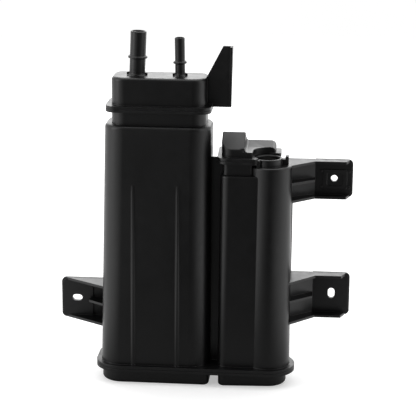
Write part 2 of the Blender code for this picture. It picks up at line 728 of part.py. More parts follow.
def build_cap(finish):
    seat = CAP_WELD_Z + GAP / 2
    flange_top = CAP_WELD_Z + WELD_FLANGE
    levels = [(seat, cap_flange_section()), (flange_top, cap_flange_section()),
              (flange_top, neck_section())]
    levels += shoulder_levels(CAP_TOP_Z, lambda z, by: neck_section(by), CAP_ROUND)
    cap = loft("top_cap", [(z, hull(circles)) for z, circles in levels], finish)
    join(cap, *port("tank_port", TANK_X, TANK_RADIUS, TANK_LENGTH, TANK_BEAD_AT, TANK_LEAN))
    join(cap, *port("purge_port", PURGE_X, PURGE_RADIUS, PURGE_LENGTH, PURGE_BEAD_AT, PURGE_LEAN))
    join(cap, *fin_pieces(seat))
    ceiling = CAP_TOP_Z - WALL
    core = [(seat - OVERLAP, neck_section(-WALL)), (ceiling, neck_section(-WALL))]
    cut(cap, loft("cap_core", [(z, hull(circles)) for z, circles in core]))
    half = WALL / 2
    join(cap, box("port_divider", DIVIDER_X - half, DIVIDER_X + half, NECK_FRONT + WALL - OVERLAP,
                  NECK_BACK - WALL + OVERLAP, seat, ceiling + OVERLAP))
    cut(cap, port_bore("tank_bore", TANK_X, TANK_BORE, TANK_LENGTH, TANK_LEAN),
        port_bore("purge_bore", PURGE_X, PURGE_BORE, PURGE_LENGTH, PURGE_LEAN))
    return cap


# Duct cover over the vent chamber

def duct_box(name, grow):
    """Tall box on the left of the duct, its roof falling from a ridge to front and back."""
    x0, x1 = BOX_LEFT - grow, BOX_RIGHT + grow
    y0, y1 = VENT_NECK_FRONT - grow, VENT_NECK_BACK + grow
    wide, tight = BOX_CORNER + grow, DUCT_FILLET + grow
    outline = hull([(x0 + wide, y0 + wide, wide), (x1 - tight, y0 + tight, tight),
                    (x1 - tight, y1 - tight, tight), (x0 + tight, y1 - tight, tight)])
    ridge = (VENT_NECK_FRONT + VENT_NECK_BACK) / 2
    slope = (BOX_HEIGHT - BOX_FRONT_HEIGHT) / (ridge - VENT_NECK_FRONT)
    high = COVER_FLANGE_TOP + BOX_HEIGHT + grow
    eaves = high - slope * (ridge - VENT_NECK_FRONT + ROOM)
    base = SEAT_Z + OVERLAP if grow == 0.0 else SEAT_Z - OVERLAP
    block = slab(name, outline, base, high + ROOM)
    front, back = VENT_NECK_FRONT - ROOM, VENT_NECK_BACK + ROOM
    roof = [(front, base - ROOM), (back, base - ROOM), (back, eaves), (ridge, high), (front, eaves)]
    combine(block, plate_yz(name + "_roof", roof, x0 - ROOM, x1 + ROOM), "INTERSECT")
    return block


def leaning_prism(name, outline, y0, y1):
    """Prism from y0 to y1 that falls to the front with the slope of the arm."""
    made = plate_xz(name, outline, y0 - VENT_NECK_BACK, y1 - VENT_NECK_BACK)
    shear = Matrix.Identity(4)
    shear[2][1] = math.tan(DUCT_SLOPE)
    made.data.transform(shear)
    made.matrix_world = Matrix.Translation((0.0, VENT_NECK_BACK, 0.0))
    return made


def duct_arm(name, grow):
    """Low arm along the back, led into the box by a wide hollow round the vent mouth."""
    inner, back = DUCT_FRONT - grow, VENT_NECK_BACK + grow
    start, right = BOX_RIGHT + grow, DUCT_RIGHT + grow
    hollow, tight = DUCT_HOLLOW - grow, DUCT_FILLET
    tail = inner - hollow - OVERLAP
    inside = (BOX_LEFT + BOX_RIGHT) / 2
    outline = rounded_polygon([(inside, tail, 0.0), (start, tail, 0.0), (start, inner, hollow),
                               (right, inner, tight), (right, back, tight), (inside, back, 0.0)])
    high = COVER_FLANGE_TOP + DUCT_HEIGHT + grow
    base = SEAT_Z + OVERLAP if grow == 0.0 else SEAT_Z - OVERLAP
    block = slab(name, outline, base, high + ROOM)
    roof = rounded_polygon([(BOX_LEFT, base - ROOM, 0.0), (right + SLIVER, base - ROOM, 0.0),
                            (right + SLIVER, high, DUCT_END_ROUND), (BOX_LEFT, high, 0.0)])
    combine(block, leaning_prism(name + "_roof", roof, tail - ROOM, back + ROOM), "INTERSECT")
    return block


def duct_fillet():
    """Hollow fillet where the side of the box meets the roof of the arm."""
    radius = DUCT_FILLET
    top = COVER_FLANGE_TOP + DUCT_HEIGHT - SLIVER
    turns = [math.pi / 2 * step / 4 for step in range(5)]
    arc = [(BOX_RIGHT + radius * (1 - math.sin(t)), top + radius * (1 - math.cos(t))) for t in turns]
    outline = [(BOX_RIGHT - radius, top - radius), (BOX_RIGHT + radius, top - radius)] + arc
    outline.append((BOX_RIGHT - radius, top + radius))
    return leaning_prism("duct_fillet", outline, DUCT_FRONT - DUCT_HOLLOW * 0.4, VENT_NECK_BACK - SLIVER)


def build_vent_cover(finish):
    cover = slab("vent_cover", l_flange(), SEAT_Z, COVER_FLANGE_TOP, finish)
    join(cover, duct_box("duct_box", 0.0), duct_arm("duct_arm", 0.0), duct_fillet())
    cut(cover, duct_box("duct_box_core", -WALL), duct_arm("duct_arm_core", -WALL))
    cut(cover, slab("duct_opening", l_section(-WALL - GAP), SEAT_Z - 2 * OVERLAP,
                    COVER_FLANGE_TOP - WALL / 2))
    room = MOUTH_RADIUS + 2 * GAP
    cut(cover, turned("mouth_clearance", MOUTH_X, MOUTH_Y,
                      [(room, SEAT_Z - OVERLAP), (room, COVER_FLANGE_TOP + OVERLAP)]))
    return cover


# Bottom cover

def tray(name, circles, z_top):
    levels = []
    for step in range(4):
        angle = math.pi / 2 * step / 3
        inward = TRAY_ROUND * (1 - math.sin(angle))
        levels.append((TRAY_ROUND * (1 - math.cos(angle)), grown(circles, -inward)))
    levels.append((z_top, circles))
    return loft(name, [(z, hull(ring)) for z, ring in levels])


def left_tray(by=0.0):
    return grown([(MAIN_LEFT + TRAY_INSET + MAIN_FRONT_RADIUS, FRONT + TRAY_INSET + MAIN_FRONT_RADIUS,
                   MAIN_FRONT_RADIUS),
                  (GROOVE_LEFT - TRAY_CORNER, FRONT + TRAY_INSET + TRAY_CORNER, TRAY_CORNER),
                  (GROOVE_LEFT - TRAY_CORNER, BACK - TRAY_INSET - TRAY_CORNER, TRAY_CORNER),
                  (MAIN_LEFT + TRAY_INSET + MAIN_BACK_RADIUS, BACK - TRAY_INSET - MAIN_BACK_RADIUS,
                   MAIN_BACK_RADIUS)], by)


def right_tray(by=0.0):
    return grown([(GROOVE_RIGHT + TRAY_CORNER, FRONT + TRAY_INSET + TRAY_CORNER, TRAY_CORNER),
                  (TUBE_X, TUBE_Y, TUBE_RADIUS - TRAY_TUBE_INSET),
                  (VENT_RIGHT - VENT_RADIUS, BACK - TRAY_INSET - VENT_RADIUS, VENT_RADIUS),
                  (GROOVE_RIGHT + TRAY_CORNER, BACK - TRAY_INSET - TRAY_CORNER, TRAY_CORNER)], by)


def spring_spots():
    """(name, x, y, outer radius, turns) of each spring."""
    apart = (MAIN_RIGHT - MAIN_LEFT) / 4
    middle = (MAIN_RIGHT + MAIN_LEFT) / 2
    depth = (FRONT + BACK) / 2
    return [("main_spring_left", middle - apart, depth, MAIN_SPRING_RADIUS, 5.0),
            ("main_spring_right", middle + apart, depth, MAIN_SPRING_RADIUS, 5.0),
            ("vent_spring", (VENT_LEFT + TUBE_X - TUBE_RADIUS) / 2, depth, VENT_SPRING_RADIUS, 6.0),
            ("tube_spring", TUBE_X, TUBE_Y, TUBE_SPRING_RADIUS, 5.5)]


def build_bottom_cover(finish):
    top = WELD_Z - GAP / 2
    cover = slab("bottom_cover", hull(flange_section(), FLANGE_STEPS), TRAY_DEPTH, top, finish)
    into = TRAY_DEPTH + WELD_FLANGE / 2
    join(cover, tray("left_tray", left_tray(), into), tray("right_tray", right_tray(), into))
    bridge = 2 * WELD_OVERHANG
    join(cover, box("groove_bridge", GROOVE_LEFT - TRAY_ROUND, GROOVE_RIGHT + TRAY_ROUND, FRONT + bridge,
                    BACK - bridge, GROOVE_DEPTH, into))
    floor, high = COVER_WALL, top + OVERLAP
    split = TUBE_X - TUBE_RADIUS
    corner = PLENUM_CORNER
    vent_room = four_corners(GROOVE_RIGHT + COVER_WALL, split - COVER_WALL, FRONT + PLENUM_INSET,
                             BACK - PLENUM_INSET, corner, corner)
    back = BACK - PLENUM_INSET - corner
    tube_room = [(TUBE_X, TUBE_Y, TUBE_RADIUS - PLENUM_INSET),
                 (VENT_RIGHT - PLENUM_INSET - corner, back, corner),
                 (PARTITION_X + PLENUM_INSET, back, corner)]
    cut(cover, slab("left_plenum", hull(left_tray(-COVER_WALL)), floor, high),
        slab("vent_plenum", hull(vent_room), floor, high), slab("tube_plenum", hull(tube_room), floor, high))
    cut(cover, box("plenum_link", GROOVE_LEFT - 2 * COVER_WALL, GROOVE_RIGHT + 2 * COVER_WALL,
                   FRONT + bridge + COVER_WALL, BACK - bridge - COVER_WALL, GROOVE_DEPTH + COVER_WALL, high))
    for name, x, y, radius, turns in spring_spots():
        inner = radius - SPRING_WIRE - GAP
        join(cover, turned(name + "_seat", x, y, [(inner, floor - OVERLAP), (inner, floor + SEAT_RISE / 2),
                                                  (inner - SEAT_RISE / 4, floor + SEAT_RISE)], steps=24))
    return cover


# Inside pieces

def slots(name, x0, x1, y0, y1, z0, z1):
    """One cutter body with a row of slots along X; each slot runs along Y, in two halves."""
    mesh = bmesh.new()
    count = max(1, int((x1 - x0 + SLOT_PITCH - SLOT_WIDTH) / SLOT_PITCH))
    first = (x0 + x1) / 2 - (count - 1) * SLOT_PITCH / 2
    middle = (y0 + y1) / 2
    for index in range(count):
        x = first + index * SLOT_PITCH
        for low, high in ((y0, middle - SLOT_BAR / 2), (middle + SLOT_BAR / 2, y1)):
            place = Matrix.Translation((x, (low + high) / 2, (z0 + z1) / 2))
            size = Matrix.Diagonal((SLOT_WIDTH, high - low, z1 - z0, 1.0))
            bmesh.ops.create_cube(mesh, size=1.0, matrix=place @ size)
    return add_object(name, mesh)


def chamber_slab(name, section, z0, z1, finish, tube=False):
    """Slab that fills a drafted chamber with a running clearance, cut back round the tube."""
    made = loft(name, [(z, hull(section(z, -WALL - GAP))) for z in (z0, z1)], finish)
    if tube:
        low, high = z0 - OVERLAP, z1 + OVERLAP
        cut(made, loft(name + "_tube_cut", [(z, tube_circle(z, GAP)) for z in (low, high)]),
            box(name + "_partition_cut", PARTITION_X - GAP, VENT_RIGHT + GAP, FRONT, BACK, low, high))
    return made


def build_stack(prefix, section, ceiling, area, finishes, split_at=None, tube=False):
    """Grid, fleece, carbon, fleece and pressure plate of one chamber, from the top down."""
    x0, x1, y0, y1 = area
    grid_finish, fleece_finish, carbon_finish = finishes
    grid_top = ceiling - GAP
    grid_low = grid_top - GRID_PLATE
    grid = chamber_slab(prefix + "_top_grid", section, grid_low, grid_top, grid_finish, tube)
    cut(grid, slots(prefix + "_top_slots", x0, x1, y0, y1, grid_low - OVERLAP, grid_top + OVERLAP))
    fleece_top = grid_low - GAP
    fleece_low = fleece_top - FLEECE
    if split_at is None:
        chamber_slab(prefix + "_top_filter", section, fleece_low, fleece_top, fleece_finish, tube)
    else:
        half = GRID_PLATE / 2
        join(grid, box(prefix + "_grid_rib", split_at - half, split_at + half, y0 - WALL, y1 + WALL,
                       fleece_low, grid_low + GRID_PLATE / 2))
        for side, start, end in (("tank", MAIN_LEFT, split_at - half - GAP),
                                 ("purge", split_at + half + GAP, MAIN_RIGHT)):
            name = "%s_%s" % (prefix, side)
            part = chamber_slab(name + "_filter", section, fleece_low, fleece_top, fleece_finish)
            combine(part, box(name + "_side", start, end, FRONT, BACK, fleece_low - OVERLAP,
                              fleece_top + OVERLAP), "INTERSECT")
    plate_top = PLATE_AT + GRID_PLATE
    low_fleece = plate_top + GAP
    bed_low = low_fleece + FLEECE + GAP
    chamber_slab(prefix + "_carbon_bed", section, bed_low, fleece_low - GAP, carbon_finish, tube)
    chamber_slab(prefix + "_bottom_filter", section, low_fleece, low_fleece + FLEECE, fleece_finish, tube)
    plate = chamber_slab(prefix + "_pressure_plate", section, PLATE_AT, plate_top, grid_finish, tube)
    cut(plate, slots(prefix + "_plate_slots", x0, x1, y0, y1, PLATE_AT - OVERLAP, plate_top + OVERLAP))
    return plate


def tube_disc(name, z0, z1, finish):
    inside = -TUBE_INSIDE_WALL - GAP
    return loft(name, [(z, tube_circle(z, inside, 32)) for z in (z0, z1)], finish)


def build_inside():
    grid = material("grid_nylon", (0.72, 0.70, 0.64), 0.45)
    fleece = material("filter_fleece", (0.80, 0.79, 0.76), 0.95)
    carbon = material("carbon_granules", (0.012, 0.012, 0.013), 0.9)
    steel = material("spring_steel", (0.62, 0.62, 0.64), 0.3, 1.0)
    side = WALL + SLOT_MARGIN
    build_stack("main", main_section, SHOULDER_Z - WALL,
                (MAIN_LEFT + MAIN_LEFT_DRAFT + side, MAIN_RIGHT - side, FRONT + side, BACK - side),
                (grid, fleece, carbon), split_at=DIVIDER_X)
    build_stack("vent", vent_section, VENT_TOP_Z - WALL,
                (VENT_LEFT + side, TUBE_X - TUBE_RADIUS - SLOT_BAR, VENT_FRONT + side, BACK - side),
                (grid, fleece, carbon), tube=True)
    top = TUBE_TOP_Z - WALL - GAP
    plate_top = PLATE_AT + GRID_PLATE
    tube_disc("tube_top_filter", top - FLEECE, top, fleece)
    tube_disc("tube_carbon_bed", plate_top + 2 * GAP + FLEECE, top - FLEECE - GAP, carbon)
    tube_disc("tube_bottom_filter", plate_top + GAP, plate_top + GAP + FLEECE, fleece)
    plate = tube_disc("tube_pressure_plate", PLATE_AT, plate_top, grid)
    reach = TUBE_RADIUS * 0.55
    cut(plate, slots("tube_plate_slots", TUBE_X - reach, TUBE_X + reach, TUBE_Y - reach, TUBE_Y + reach,
                     PLATE_AT - OVERLAP, plate_top + OVERLAP))
    for name, x, y, radius, turns in spring_spots():
        coil(name, x, y, COVER_WALL + GAP, PLATE_AT - GAP, radius, SPRING_WIRE, turns, steel)


def main():
    for old in list(bpy.data.objects):
        bpy.data.objects.remove(old, do_unlink=True)
    plastic = material("black_plastic", (0.018, 0.018, 0.020), 0.38)
    cap_plastic = material("cap_plastic", (0.016, 0.016, 0.018), 0.36)
    duct_plastic = material("duct_plastic", (0.020, 0.020, 0.022), 0.38)
    cover_plastic = material("cover_plastic", (0.017, 0.017, 0.019), 0.40)
    build_housing(plastic)
    build_cap(cap_plastic)
    build_vent_cover(duct_plastic)
    build_bottom_cover(cover_plastic)
    build_inside()


main()
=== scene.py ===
"""Looks of the charcoal canister: materials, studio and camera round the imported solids."""
import json
import math

import bmesh
import bpy
from mathutils import Matrix, Vector

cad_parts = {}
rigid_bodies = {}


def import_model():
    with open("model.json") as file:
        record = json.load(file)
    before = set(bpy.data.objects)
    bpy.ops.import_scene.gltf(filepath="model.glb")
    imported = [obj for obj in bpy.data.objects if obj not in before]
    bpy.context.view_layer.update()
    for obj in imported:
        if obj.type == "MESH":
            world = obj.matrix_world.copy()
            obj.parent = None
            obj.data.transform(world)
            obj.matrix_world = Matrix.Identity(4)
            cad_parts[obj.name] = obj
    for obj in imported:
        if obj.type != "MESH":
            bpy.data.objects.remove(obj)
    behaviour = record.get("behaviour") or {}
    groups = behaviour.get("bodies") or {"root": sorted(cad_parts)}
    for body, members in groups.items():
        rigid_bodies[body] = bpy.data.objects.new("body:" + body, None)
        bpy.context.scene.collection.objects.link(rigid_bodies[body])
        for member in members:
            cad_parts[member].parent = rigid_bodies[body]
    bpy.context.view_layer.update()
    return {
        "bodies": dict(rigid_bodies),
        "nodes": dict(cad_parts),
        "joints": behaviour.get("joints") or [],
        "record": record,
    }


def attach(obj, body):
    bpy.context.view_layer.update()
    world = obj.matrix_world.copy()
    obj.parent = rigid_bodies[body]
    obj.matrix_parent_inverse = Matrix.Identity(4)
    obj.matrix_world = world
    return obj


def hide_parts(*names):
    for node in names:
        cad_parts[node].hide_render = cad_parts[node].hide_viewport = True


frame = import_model()
NODES = frame["nodes"]

# Camera, fitted to the photograph
YAW = math.radians(4.7)
PITCH = math.radians(15.0)
ROLL = math.radians(0.48)
LOOK_AT = Vector((0.0134, -0.0300, 0.1854))
DISTANCE = 1.580
FOCAL_MM = 140.28
SENSOR_MM = 36.0


# Node helpers

class Graph:
    """Short calls for adding and linking shader nodes."""

    def __init__(self, tree):
        self.tree = tree

    def node(self, kind, inputs=(), **settings):
        """New node with its settings, and with inputs set or linked by name or number."""
        made = self.tree.nodes.new(kind)
        for key, value in settings.items():
            setattr(made, key, value)
        self.feed(made, dict(inputs))
        return made

    def feed(self, node, inputs):
        for key, value in inputs.items():
            if isinstance(value, bpy.types.NodeSocket):
                self.tree.links.new(value, node.inputs[key])
            else:
                node.inputs[key].default_value = value

    def place(self, kind="Object"):
        return self.node("ShaderNodeTexCoord").outputs[kind]

    def moved(self, place, **changes):
        return self.node("ShaderNodeMapping", {"Vector": place, **changes}).outputs["Vector"]

    def noise(self, place, scale, detail=3.0, roughness=0.5, distortion=0.0):
        inputs = {"Vector": place, "Scale": scale, "Detail": detail, "Roughness": roughness,
                  "Distortion": distortion}
        return self.node("ShaderNodeTexNoise", inputs).outputs["Fac"]

    def ramp(self, value, low, high, out_low=0.0, out_high=1.0):
        inputs = {"Value": value, "From Min": low, "From Max": high, "To Min": out_low, "To Max": out_high}
        return self.node("ShaderNodeMapRange", inputs).outputs["Result"]

    def math(self, operation, one, two=0.0):
        return self.node("ShaderNodeMath", {0: one, 1: two}, operation=operation).outputs["Value"]

    def split(self, vector):
        """X, Y and Z of a vector."""
        made = self.node("ShaderNodeSeparateXYZ", {"Vector": vector})
        return [made.outputs[axis] for axis in "XYZ"]

    def seen(self, behind=1.0):
        """One for camera rays, and for mirrored and refracted rays the share that they see."""
        path = self.node("ShaderNodeLightPath").outputs
        mirrored = self.math("MAXIMUM", path["Is Glossy Ray"], path["Is Transmission Ray"])
        return self.math("MAXIMUM", self.math("MULTIPLY", mirrored, behind), path["Is Camera Ray"])

    def blend(self, share, one, two):
        inputs = {"Factor": share, "A": one, "B": two}
        return self.node("ShaderNodeMix", inputs, data_type="RGBA").outputs["Result"]

    def bump(self, height, strength, distance, **normal):
        inputs = {"Strength": strength, "Distance": distance, "Height": height, **normal}
        return self.node("ShaderNodeBump", inputs).outputs["Normal"]


def blank_graph(owner):
    """Graph of a material or world without the nodes that it starts with."""
    owner.use_nodes = True
    owner.node_tree.nodes.clear()
    return Graph(owner.node_tree)


def new_material(name, surface="ShaderNodeBsdfPrincipled", output="BSDF"):
    """Material and its graph, with one shader node, whose output is the surface."""
    made = bpy.data.materials.new(name)
    graph = blank_graph(made)
    shader = graph.node(surface)
    graph.node("ShaderNodeOutputMaterial", {"Surface": shader.outputs[output]})
    return made, graph, shader


def opaque(*colours):
    return [(*colour, 1.0) for colour in colours]


def grey(level):
    return (level, level, level, 1.0)


# Parts of a noise over which one look turns into the other
MIDDLE = (0.35, 0.65)
WIDE = (0.30, 0.70)
PATCHES = (0.42, 0.62)
SMUDGES = (0.35, 0.70)

# Black plastic
BLACK = (0.0020, 0.0020, 0.0022)
CLOUD_SHADES = (0.85, 1.2)
WORN_GAIN = 2.6
WORN_LIFT = 0.004
WORN_SHARE = 0.5
WORN_ROUGHNESS = 0.06
EDGE_POINTINESS = (0.53, 0.60)
EDGE_ROUND = 0.0008
EDGE_SAMPLES = 6
ROUGHNESS_SPREAD = 0.03
SMUDGE_ROUGHNESS = (-0.02, 0.04)
PLASTIC_IOR = 1.46


def black_plastic(name, roughness, *shift):
    """Satin black moulding with a fine texture, smudges and slightly rubbed edges."""
    made, graph, shader = new_material(name)
    spot = graph.moved(graph.place(), Location=shift)
    cloud = graph.noise(spot, scale=22.0, detail=4.0, roughness=0.55)
    smudge = graph.noise(spot, scale=130.0, detail=5.0, roughness=0.6)
    grain = graph.noise(spot, scale=2600.0, detail=2.0)
    peel = graph.noise(spot, scale=420.0, detail=2.0, roughness=0.4)
    edges = graph.node("ShaderNodeNewGeometry").outputs["Pointiness"]
    rubbed = graph.math("MULTIPLY", graph.ramp(edges, *EDGE_POINTINESS), graph.ramp(smudge, *PATCHES))
    tints = opaque(*[[c * shade for c in BLACK] for shade in CLOUD_SHADES])
    worn = (*[c * WORN_GAIN + WORN_LIFT for c in BLACK], 1.0)
    colour = graph.blend(graph.math("MULTIPLY", rubbed, WORN_SHARE),
                         graph.blend(graph.ramp(cloud, *MIDDLE), *tints), worn)
    rough = graph.ramp(cloud, *WIDE, roughness - ROUGHNESS_SPREAD, roughness + ROUGHNESS_SPREAD)
    rough = graph.math("ADD", rough, graph.ramp(smudge, *SMUDGES, *SMUDGE_ROUGHNESS))
    rough = graph.math("ADD", rough, graph.math("MULTIPLY", rubbed, WORN_ROUGHNESS))
    edge = graph.node("ShaderNodeBevel", {"Radius": EDGE_ROUND}, samples=EDGE_SAMPLES)
    fine = graph.bump(grain, strength=0.10, distance=0.00004, Normal=edge.outputs["Normal"])
    graph.feed(shader, {"Base Color": colour, "Roughness": rough, "IOR": PLASTIC_IOR,
                        "Normal": graph.bump(peel, strength=0.10, distance=0.00020, Normal=fine)})
    return made


def nylon(name):
    made, graph, shader = new_material(name)
    cloud = graph.noise(graph.place(), scale=60.0, detail=4.0)
    fine = graph.noise(graph.place(), scale=900.0)
    tints = opaque((0.66, 0.63, 0.56), (0.76, 0.74, 0.68))
    graph.feed(shader, {"Base Color": graph.blend(graph.ramp(cloud, *MIDDLE), *tints),
                        "Roughness": graph.ramp(cloud, *WIDE, 0.40, 0.52),
                        "Subsurface Weight": 0.1, "Subsurface Radius": (0.002, 0.0018, 0.0015),
                        "Normal": graph.bump(fine, strength=0.15, distance=0.0001)})
    return made


def fleece(name):
    made, graph, shader = new_material(name)
    stretched = graph.moved(graph.place(), Scale=(1.0, 0.25, 1.0))
    strand = graph.noise(stretched, scale=1400.0, detail=6.0, distortion=1.5)
    tints = opaque((0.62, 0.61, 0.57), (0.84, 0.83, 0.80))
    graph.feed(shader, {"Base Color": graph.blend(graph.ramp(strand, *MIDDLE), *tints),
                        "Roughness": graph.ramp(strand, *WIDE, 0.88, 1.0), "Sheen Weight": 0.4,
                        "Normal": graph.bump(strand, strength=0.6, distance=0.0004)})
    return made


def carbon(name):
    made, graph, shader = new_material(name)
    cells = graph.node("ShaderNodeTexVoronoi", {"Vector": graph.place(), "Scale": 520.0}).outputs
    pick = graph.node("ShaderNodeSeparateColor", {"Color": cells["Color"]}).outputs["Red"]
    tints = opaque((0.006, 0.006, 0.007), (0.028, 0.028, 0.030))
    graph.feed(shader, {"Base Color": graph.blend(pick, *tints),
                        "Roughness": graph.ramp(pick, 0.0, 1.0, 0.65, 0.95),
                        "Normal": graph.bump(cells["Distance"], strength=0.9, distance=0.0012)})
    return made


def spring_steel(name):
    made, graph, shader = new_material(name)
    cloud = graph.noise(graph.place(), scale=300.0, detail=4.0)
    fine = graph.noise(graph.place(), scale=2500.0)
    tints = opaque((0.50, 0.50, 0.52), (0.66, 0.66, 0.68))
    graph.feed(shader, {"Base Color": graph.blend(graph.ramp(cloud, *MIDDLE), *tints), "Metallic": 1.0,
                        "Roughness": graph.ramp(cloud, *WIDE, 0.24, 0.40),
                        "Normal": graph.bump(fine, strength=0.2, distance=0.00005)})
    return made


# Finish of every piece

FINISHES = {
    "housing_plastic": black_plastic("housing_plastic_look", 0.36, 0.0, 0.0, 0.0),
    "cap_plastic": black_plastic("cap_plastic_look", 0.35, 3.10, 2.17, 0.93),
    "duct_plastic": black_plastic("duct_plastic_look", 0.37, 7.40, 5.18, 2.22),
    "cover_plastic": black_plastic("cover_plastic_look", 0.38, 5.20, 3.64, 1.56),
    "grid_nylon": nylon("grid_nylon_look"),
    "filter_fleece": fleece("filter_fleece_look"),
    "carbon_granules": carbon("carbon_granules_look"),
    "spring_steel": spring_steel("spring_steel_look"),
}


def dress(piece, finish):
    piece.data.materials.clear()
    piece.data.materials.append(finish)


SLOTS = {entry["node"]: entry["material_slot"] for entry in frame["record"]["subparts"]}
for node, slot in SLOTS.items():
    dress(NODES[node], FINISHES[slot])


# Fine outer pieces, which follow the solids that they replace

# Gaps, walls and margins
GAP = 0.0003
WALL = 0.0025
COVER_WALL = 0.0022
OVERLAP = 0.0012
SLIVER = 0.0001
ROOM = 0.0100
TRAY_DEPTH = 0.0135
WELD_FLANGE = 0.0030
WELD_OVERHANG = 0.0050

# Main chamber, its neck and the cap
BODY_HEIGHT = 0.2474
NECK_HEIGHT = 0.0131
CAP_HEIGHT = 0.0272
MAIN_LEFT = -0.0953
MAIN_RIGHT = 0.0150
FRONT = -0.0290
BACK = 0.0275
MAIN_LEFT_DRAFT = 0.0050
DRAFT = 0.0008
MAIN_FRONT_RADIUS = 0.0205
MAIN_BACK_RADIUS = 0.0160
SHOULDER_ROUND = 0.0038
NECK_LEFT = -0.0835
NECK_RIGHT = 0.0096
NECK_FRONT = -0.0214
NECK_BACK = 0.0199
NECK_FRONT_RADIUS = 0.0137
NECK_BACK_RADIUS = 0.0092
CAP_FLANGE_RADIUS = 0.0105
CAP_ROUND = 0.0035

# Vent chamber and its neck
VENT_LEFT = 0.0232
VENT_RIGHT = 0.0850
VENT_FRONT = -0.0250
VENT_RADIUS = 0.0090
VENT_DROP = 0.0474
VENT_HEIGHT = BODY_HEIGHT - VENT_DROP
VENT_NECK_HEIGHT = 0.0115
VENT_NECK_LEFT = 0.0263
VENT_NECK_LEAN = 0.0016
VENT_NECK_RIGHT = 0.0556
VENT_NECK_FRONT = -0.0204
VENT_NECK_BACK = 0.0229
VENT_NECK_RADIUS = 0.0055
VENT_NECK_CORNER = 0.0020
VENT_NECK_HOLLOW = 0.0120
VENT_FLANGE_CORNER = 0.0030

# Round tube and vent mouth
TUBE_X = 0.0728
TUBE_RADIUS = 0.0225
TUBE_DRAFT = 0.0015
TUBE_STEP = 0.0088
TUBE_HEIGHT = VENT_HEIGHT + TUBE_STEP
TUBE_ROUND = 0.0022
TUBE_INSIDE_WALL = 0.0023
PARTITION_X = 0.0560
PARTITION = 0.0020
MOUTH_X = 0.0706
MOUTH_Y = -0.0088
MOUTH_RADIUS = 0.0136
MOUTH_BORE = 0.0109
MOUTH_HEIGHT = 0.0072
MOUTH_CHAMFER = 0.0009
LUG_FROM = 0.0124
LUG_STEP = 0.0166
LUG_TO = 0.0197
LUG_LOW = 0.0060
LUG_HIGH = 0.0088
LUG_BACK = 0.0072
KEY_LEFT = 0.0106
KEY_WIDTH = 0.0032
KEY_RISE = 0.0002

# Duct cover
BOX_HEIGHT = 0.0215
BOX_STEP_HEIGHT = 0.0055
BOX_FRONT_HEIGHT = 0.0079
BOX_BACK_HEIGHT = 0.0104
BOX_LEFT = 0.0248
BOX_RIGHT = 0.0475
BOX_CORNER = 0.0105
DUCT_FRONT = 0.0055
DUCT_FLANGE_FRONT = 0.0010
DUCT_RIGHT = 0.0772
DUCT_HEIGHT = 0.0090
DUCT_HOLLOW = 0.0155
DUCT_END_ROUND = 0.0052
DUCT_EDGE_ROUND = 0.0012
DUCT_FILLET = 0.0030
STEP_FILLET = 0.0038
DUCT_SLOPE = math.radians(11.0)

# Web, ribs and groove of the front
WEB_Y = -0.0040
WEB_THICKNESS = 0.0024
WEB_RISE = 0.0145
WEB_HEIGHT = VENT_HEIGHT + WEB_RISE
RIB_XS = (-0.0608, -0.0168)
RIB_WIDTH = 0.0046
RIB_CREST = 0.0014
RIB_RISE = 0.0013
RIB_DROP = 0.0585
RIB_TOP = BODY_HEIGHT - RIB_DROP
RIB_TAPER = 0.0070
GROOVE_LEFT = 0.0150
GROOVE_RIGHT = 0.0242
GROOVE_DEPTH = 0.0094

# Trays and the rooms in them
TRAY_INSET = 0.0010
TRAY_ROUND = 0.0028
TRAY_CORNER = 0.0060
TRAY_TUBE_INSET = 0.0035
PLENUM_INSET = 0.0055
PLENUM_CORNER = 0.0030
SEAT_RISE = 0.0036

# Hose ports and fin
TANK_X = -0.0594
PURGE_X = -0.0172
PORT_Y = -0.0010
TANK_RADIUS = 0.0078
TANK_BORE = 0.0058
TANK_LENGTH = 0.0430
TANK_BEAD_AT = 0.0178
TANK_LEAN = math.radians(2.1)
PURGE_RADIUS = 0.0049
PURGE_BORE = 0.0033
PURGE_LENGTH = 0.0375
PURGE_BEAD_AT = 0.0132
PURGE_LEAN = math.radians(-1.0)
BEAD_RISE = 0.0017
BEAD_LENGTH = 0.0030
BEAD_SHAPE = ((-1.0, 0.0), (-0.6, 1.0), (0.3, 1.0), (0.8, 0.5), (1.0, 0.0))
TIP_ROUND = 0.0011
TIP_SHAPE = ((-1.0, 0.0), (-0.25, 0.25), (0.0, 0.6))
PAD_REACH = 0.0024
GUSSET = 0.0016
GUSSET_LOW = 0.0020
GUSSET_HIGH = 0.0026
DIVIDER_X = (TANK_X + PURGE_X) / 2
FIN_Y = -0.0020
FIN_THICKNESS = 0.0022
FIN_RIGHT = 0.0342
FIN_DRAFT = 0.0010
FIN_TOP_WIDTH = 0.0095
FIN_RISE = 0.0300
FIN_FLANGE_DEPTH = 0.0068
FIN_FOOT_DEPTH = 0.0020

# Brackets
BRACKET_BACK = 0.0285
BRACKET_PLATE = 0.0026
BRACKET_PAD = 0.0042
BRACKET_CORNER = 0.0050
LEFT_BRACKET_TIP = -0.1416
RIGHT_BRACKET_TIP = 0.1537
BRACKET_HOLE_RADIUS = 0.0034
BRACKET_ROOT = VENT_RIGHT - WALL
LEFT_ROOT = MAIN_LEFT + MAIN_BACK_RADIUS / 2
STRIP_RIGHT = 0.0942
STRIP_DEPTH = 0.0045
STRIP_FROM = 0.0480
STRIP_DROP = 0.0029
STRIP_TO = TUBE_HEIGHT - STRIP_DROP
UPPER_RIGHT_HEIGHTS = (TUBE_HEIGHT - 0.0394, TUBE_HEIGHT - 0.0009, TUBE_HEIGHT - 0.0209)
LOWER_RIGHT_HEIGHTS = (0.0459, 0.0902, 0.0684)
LEFT_HEIGHTS = (0.0334, 0.0760, 0.0540)
LEFT_PAD_SIDE = 0.0165
LEFT_RIB_LINE = ((-0.1122, 0.0120), (LEFT_ROOT, 0.0300))
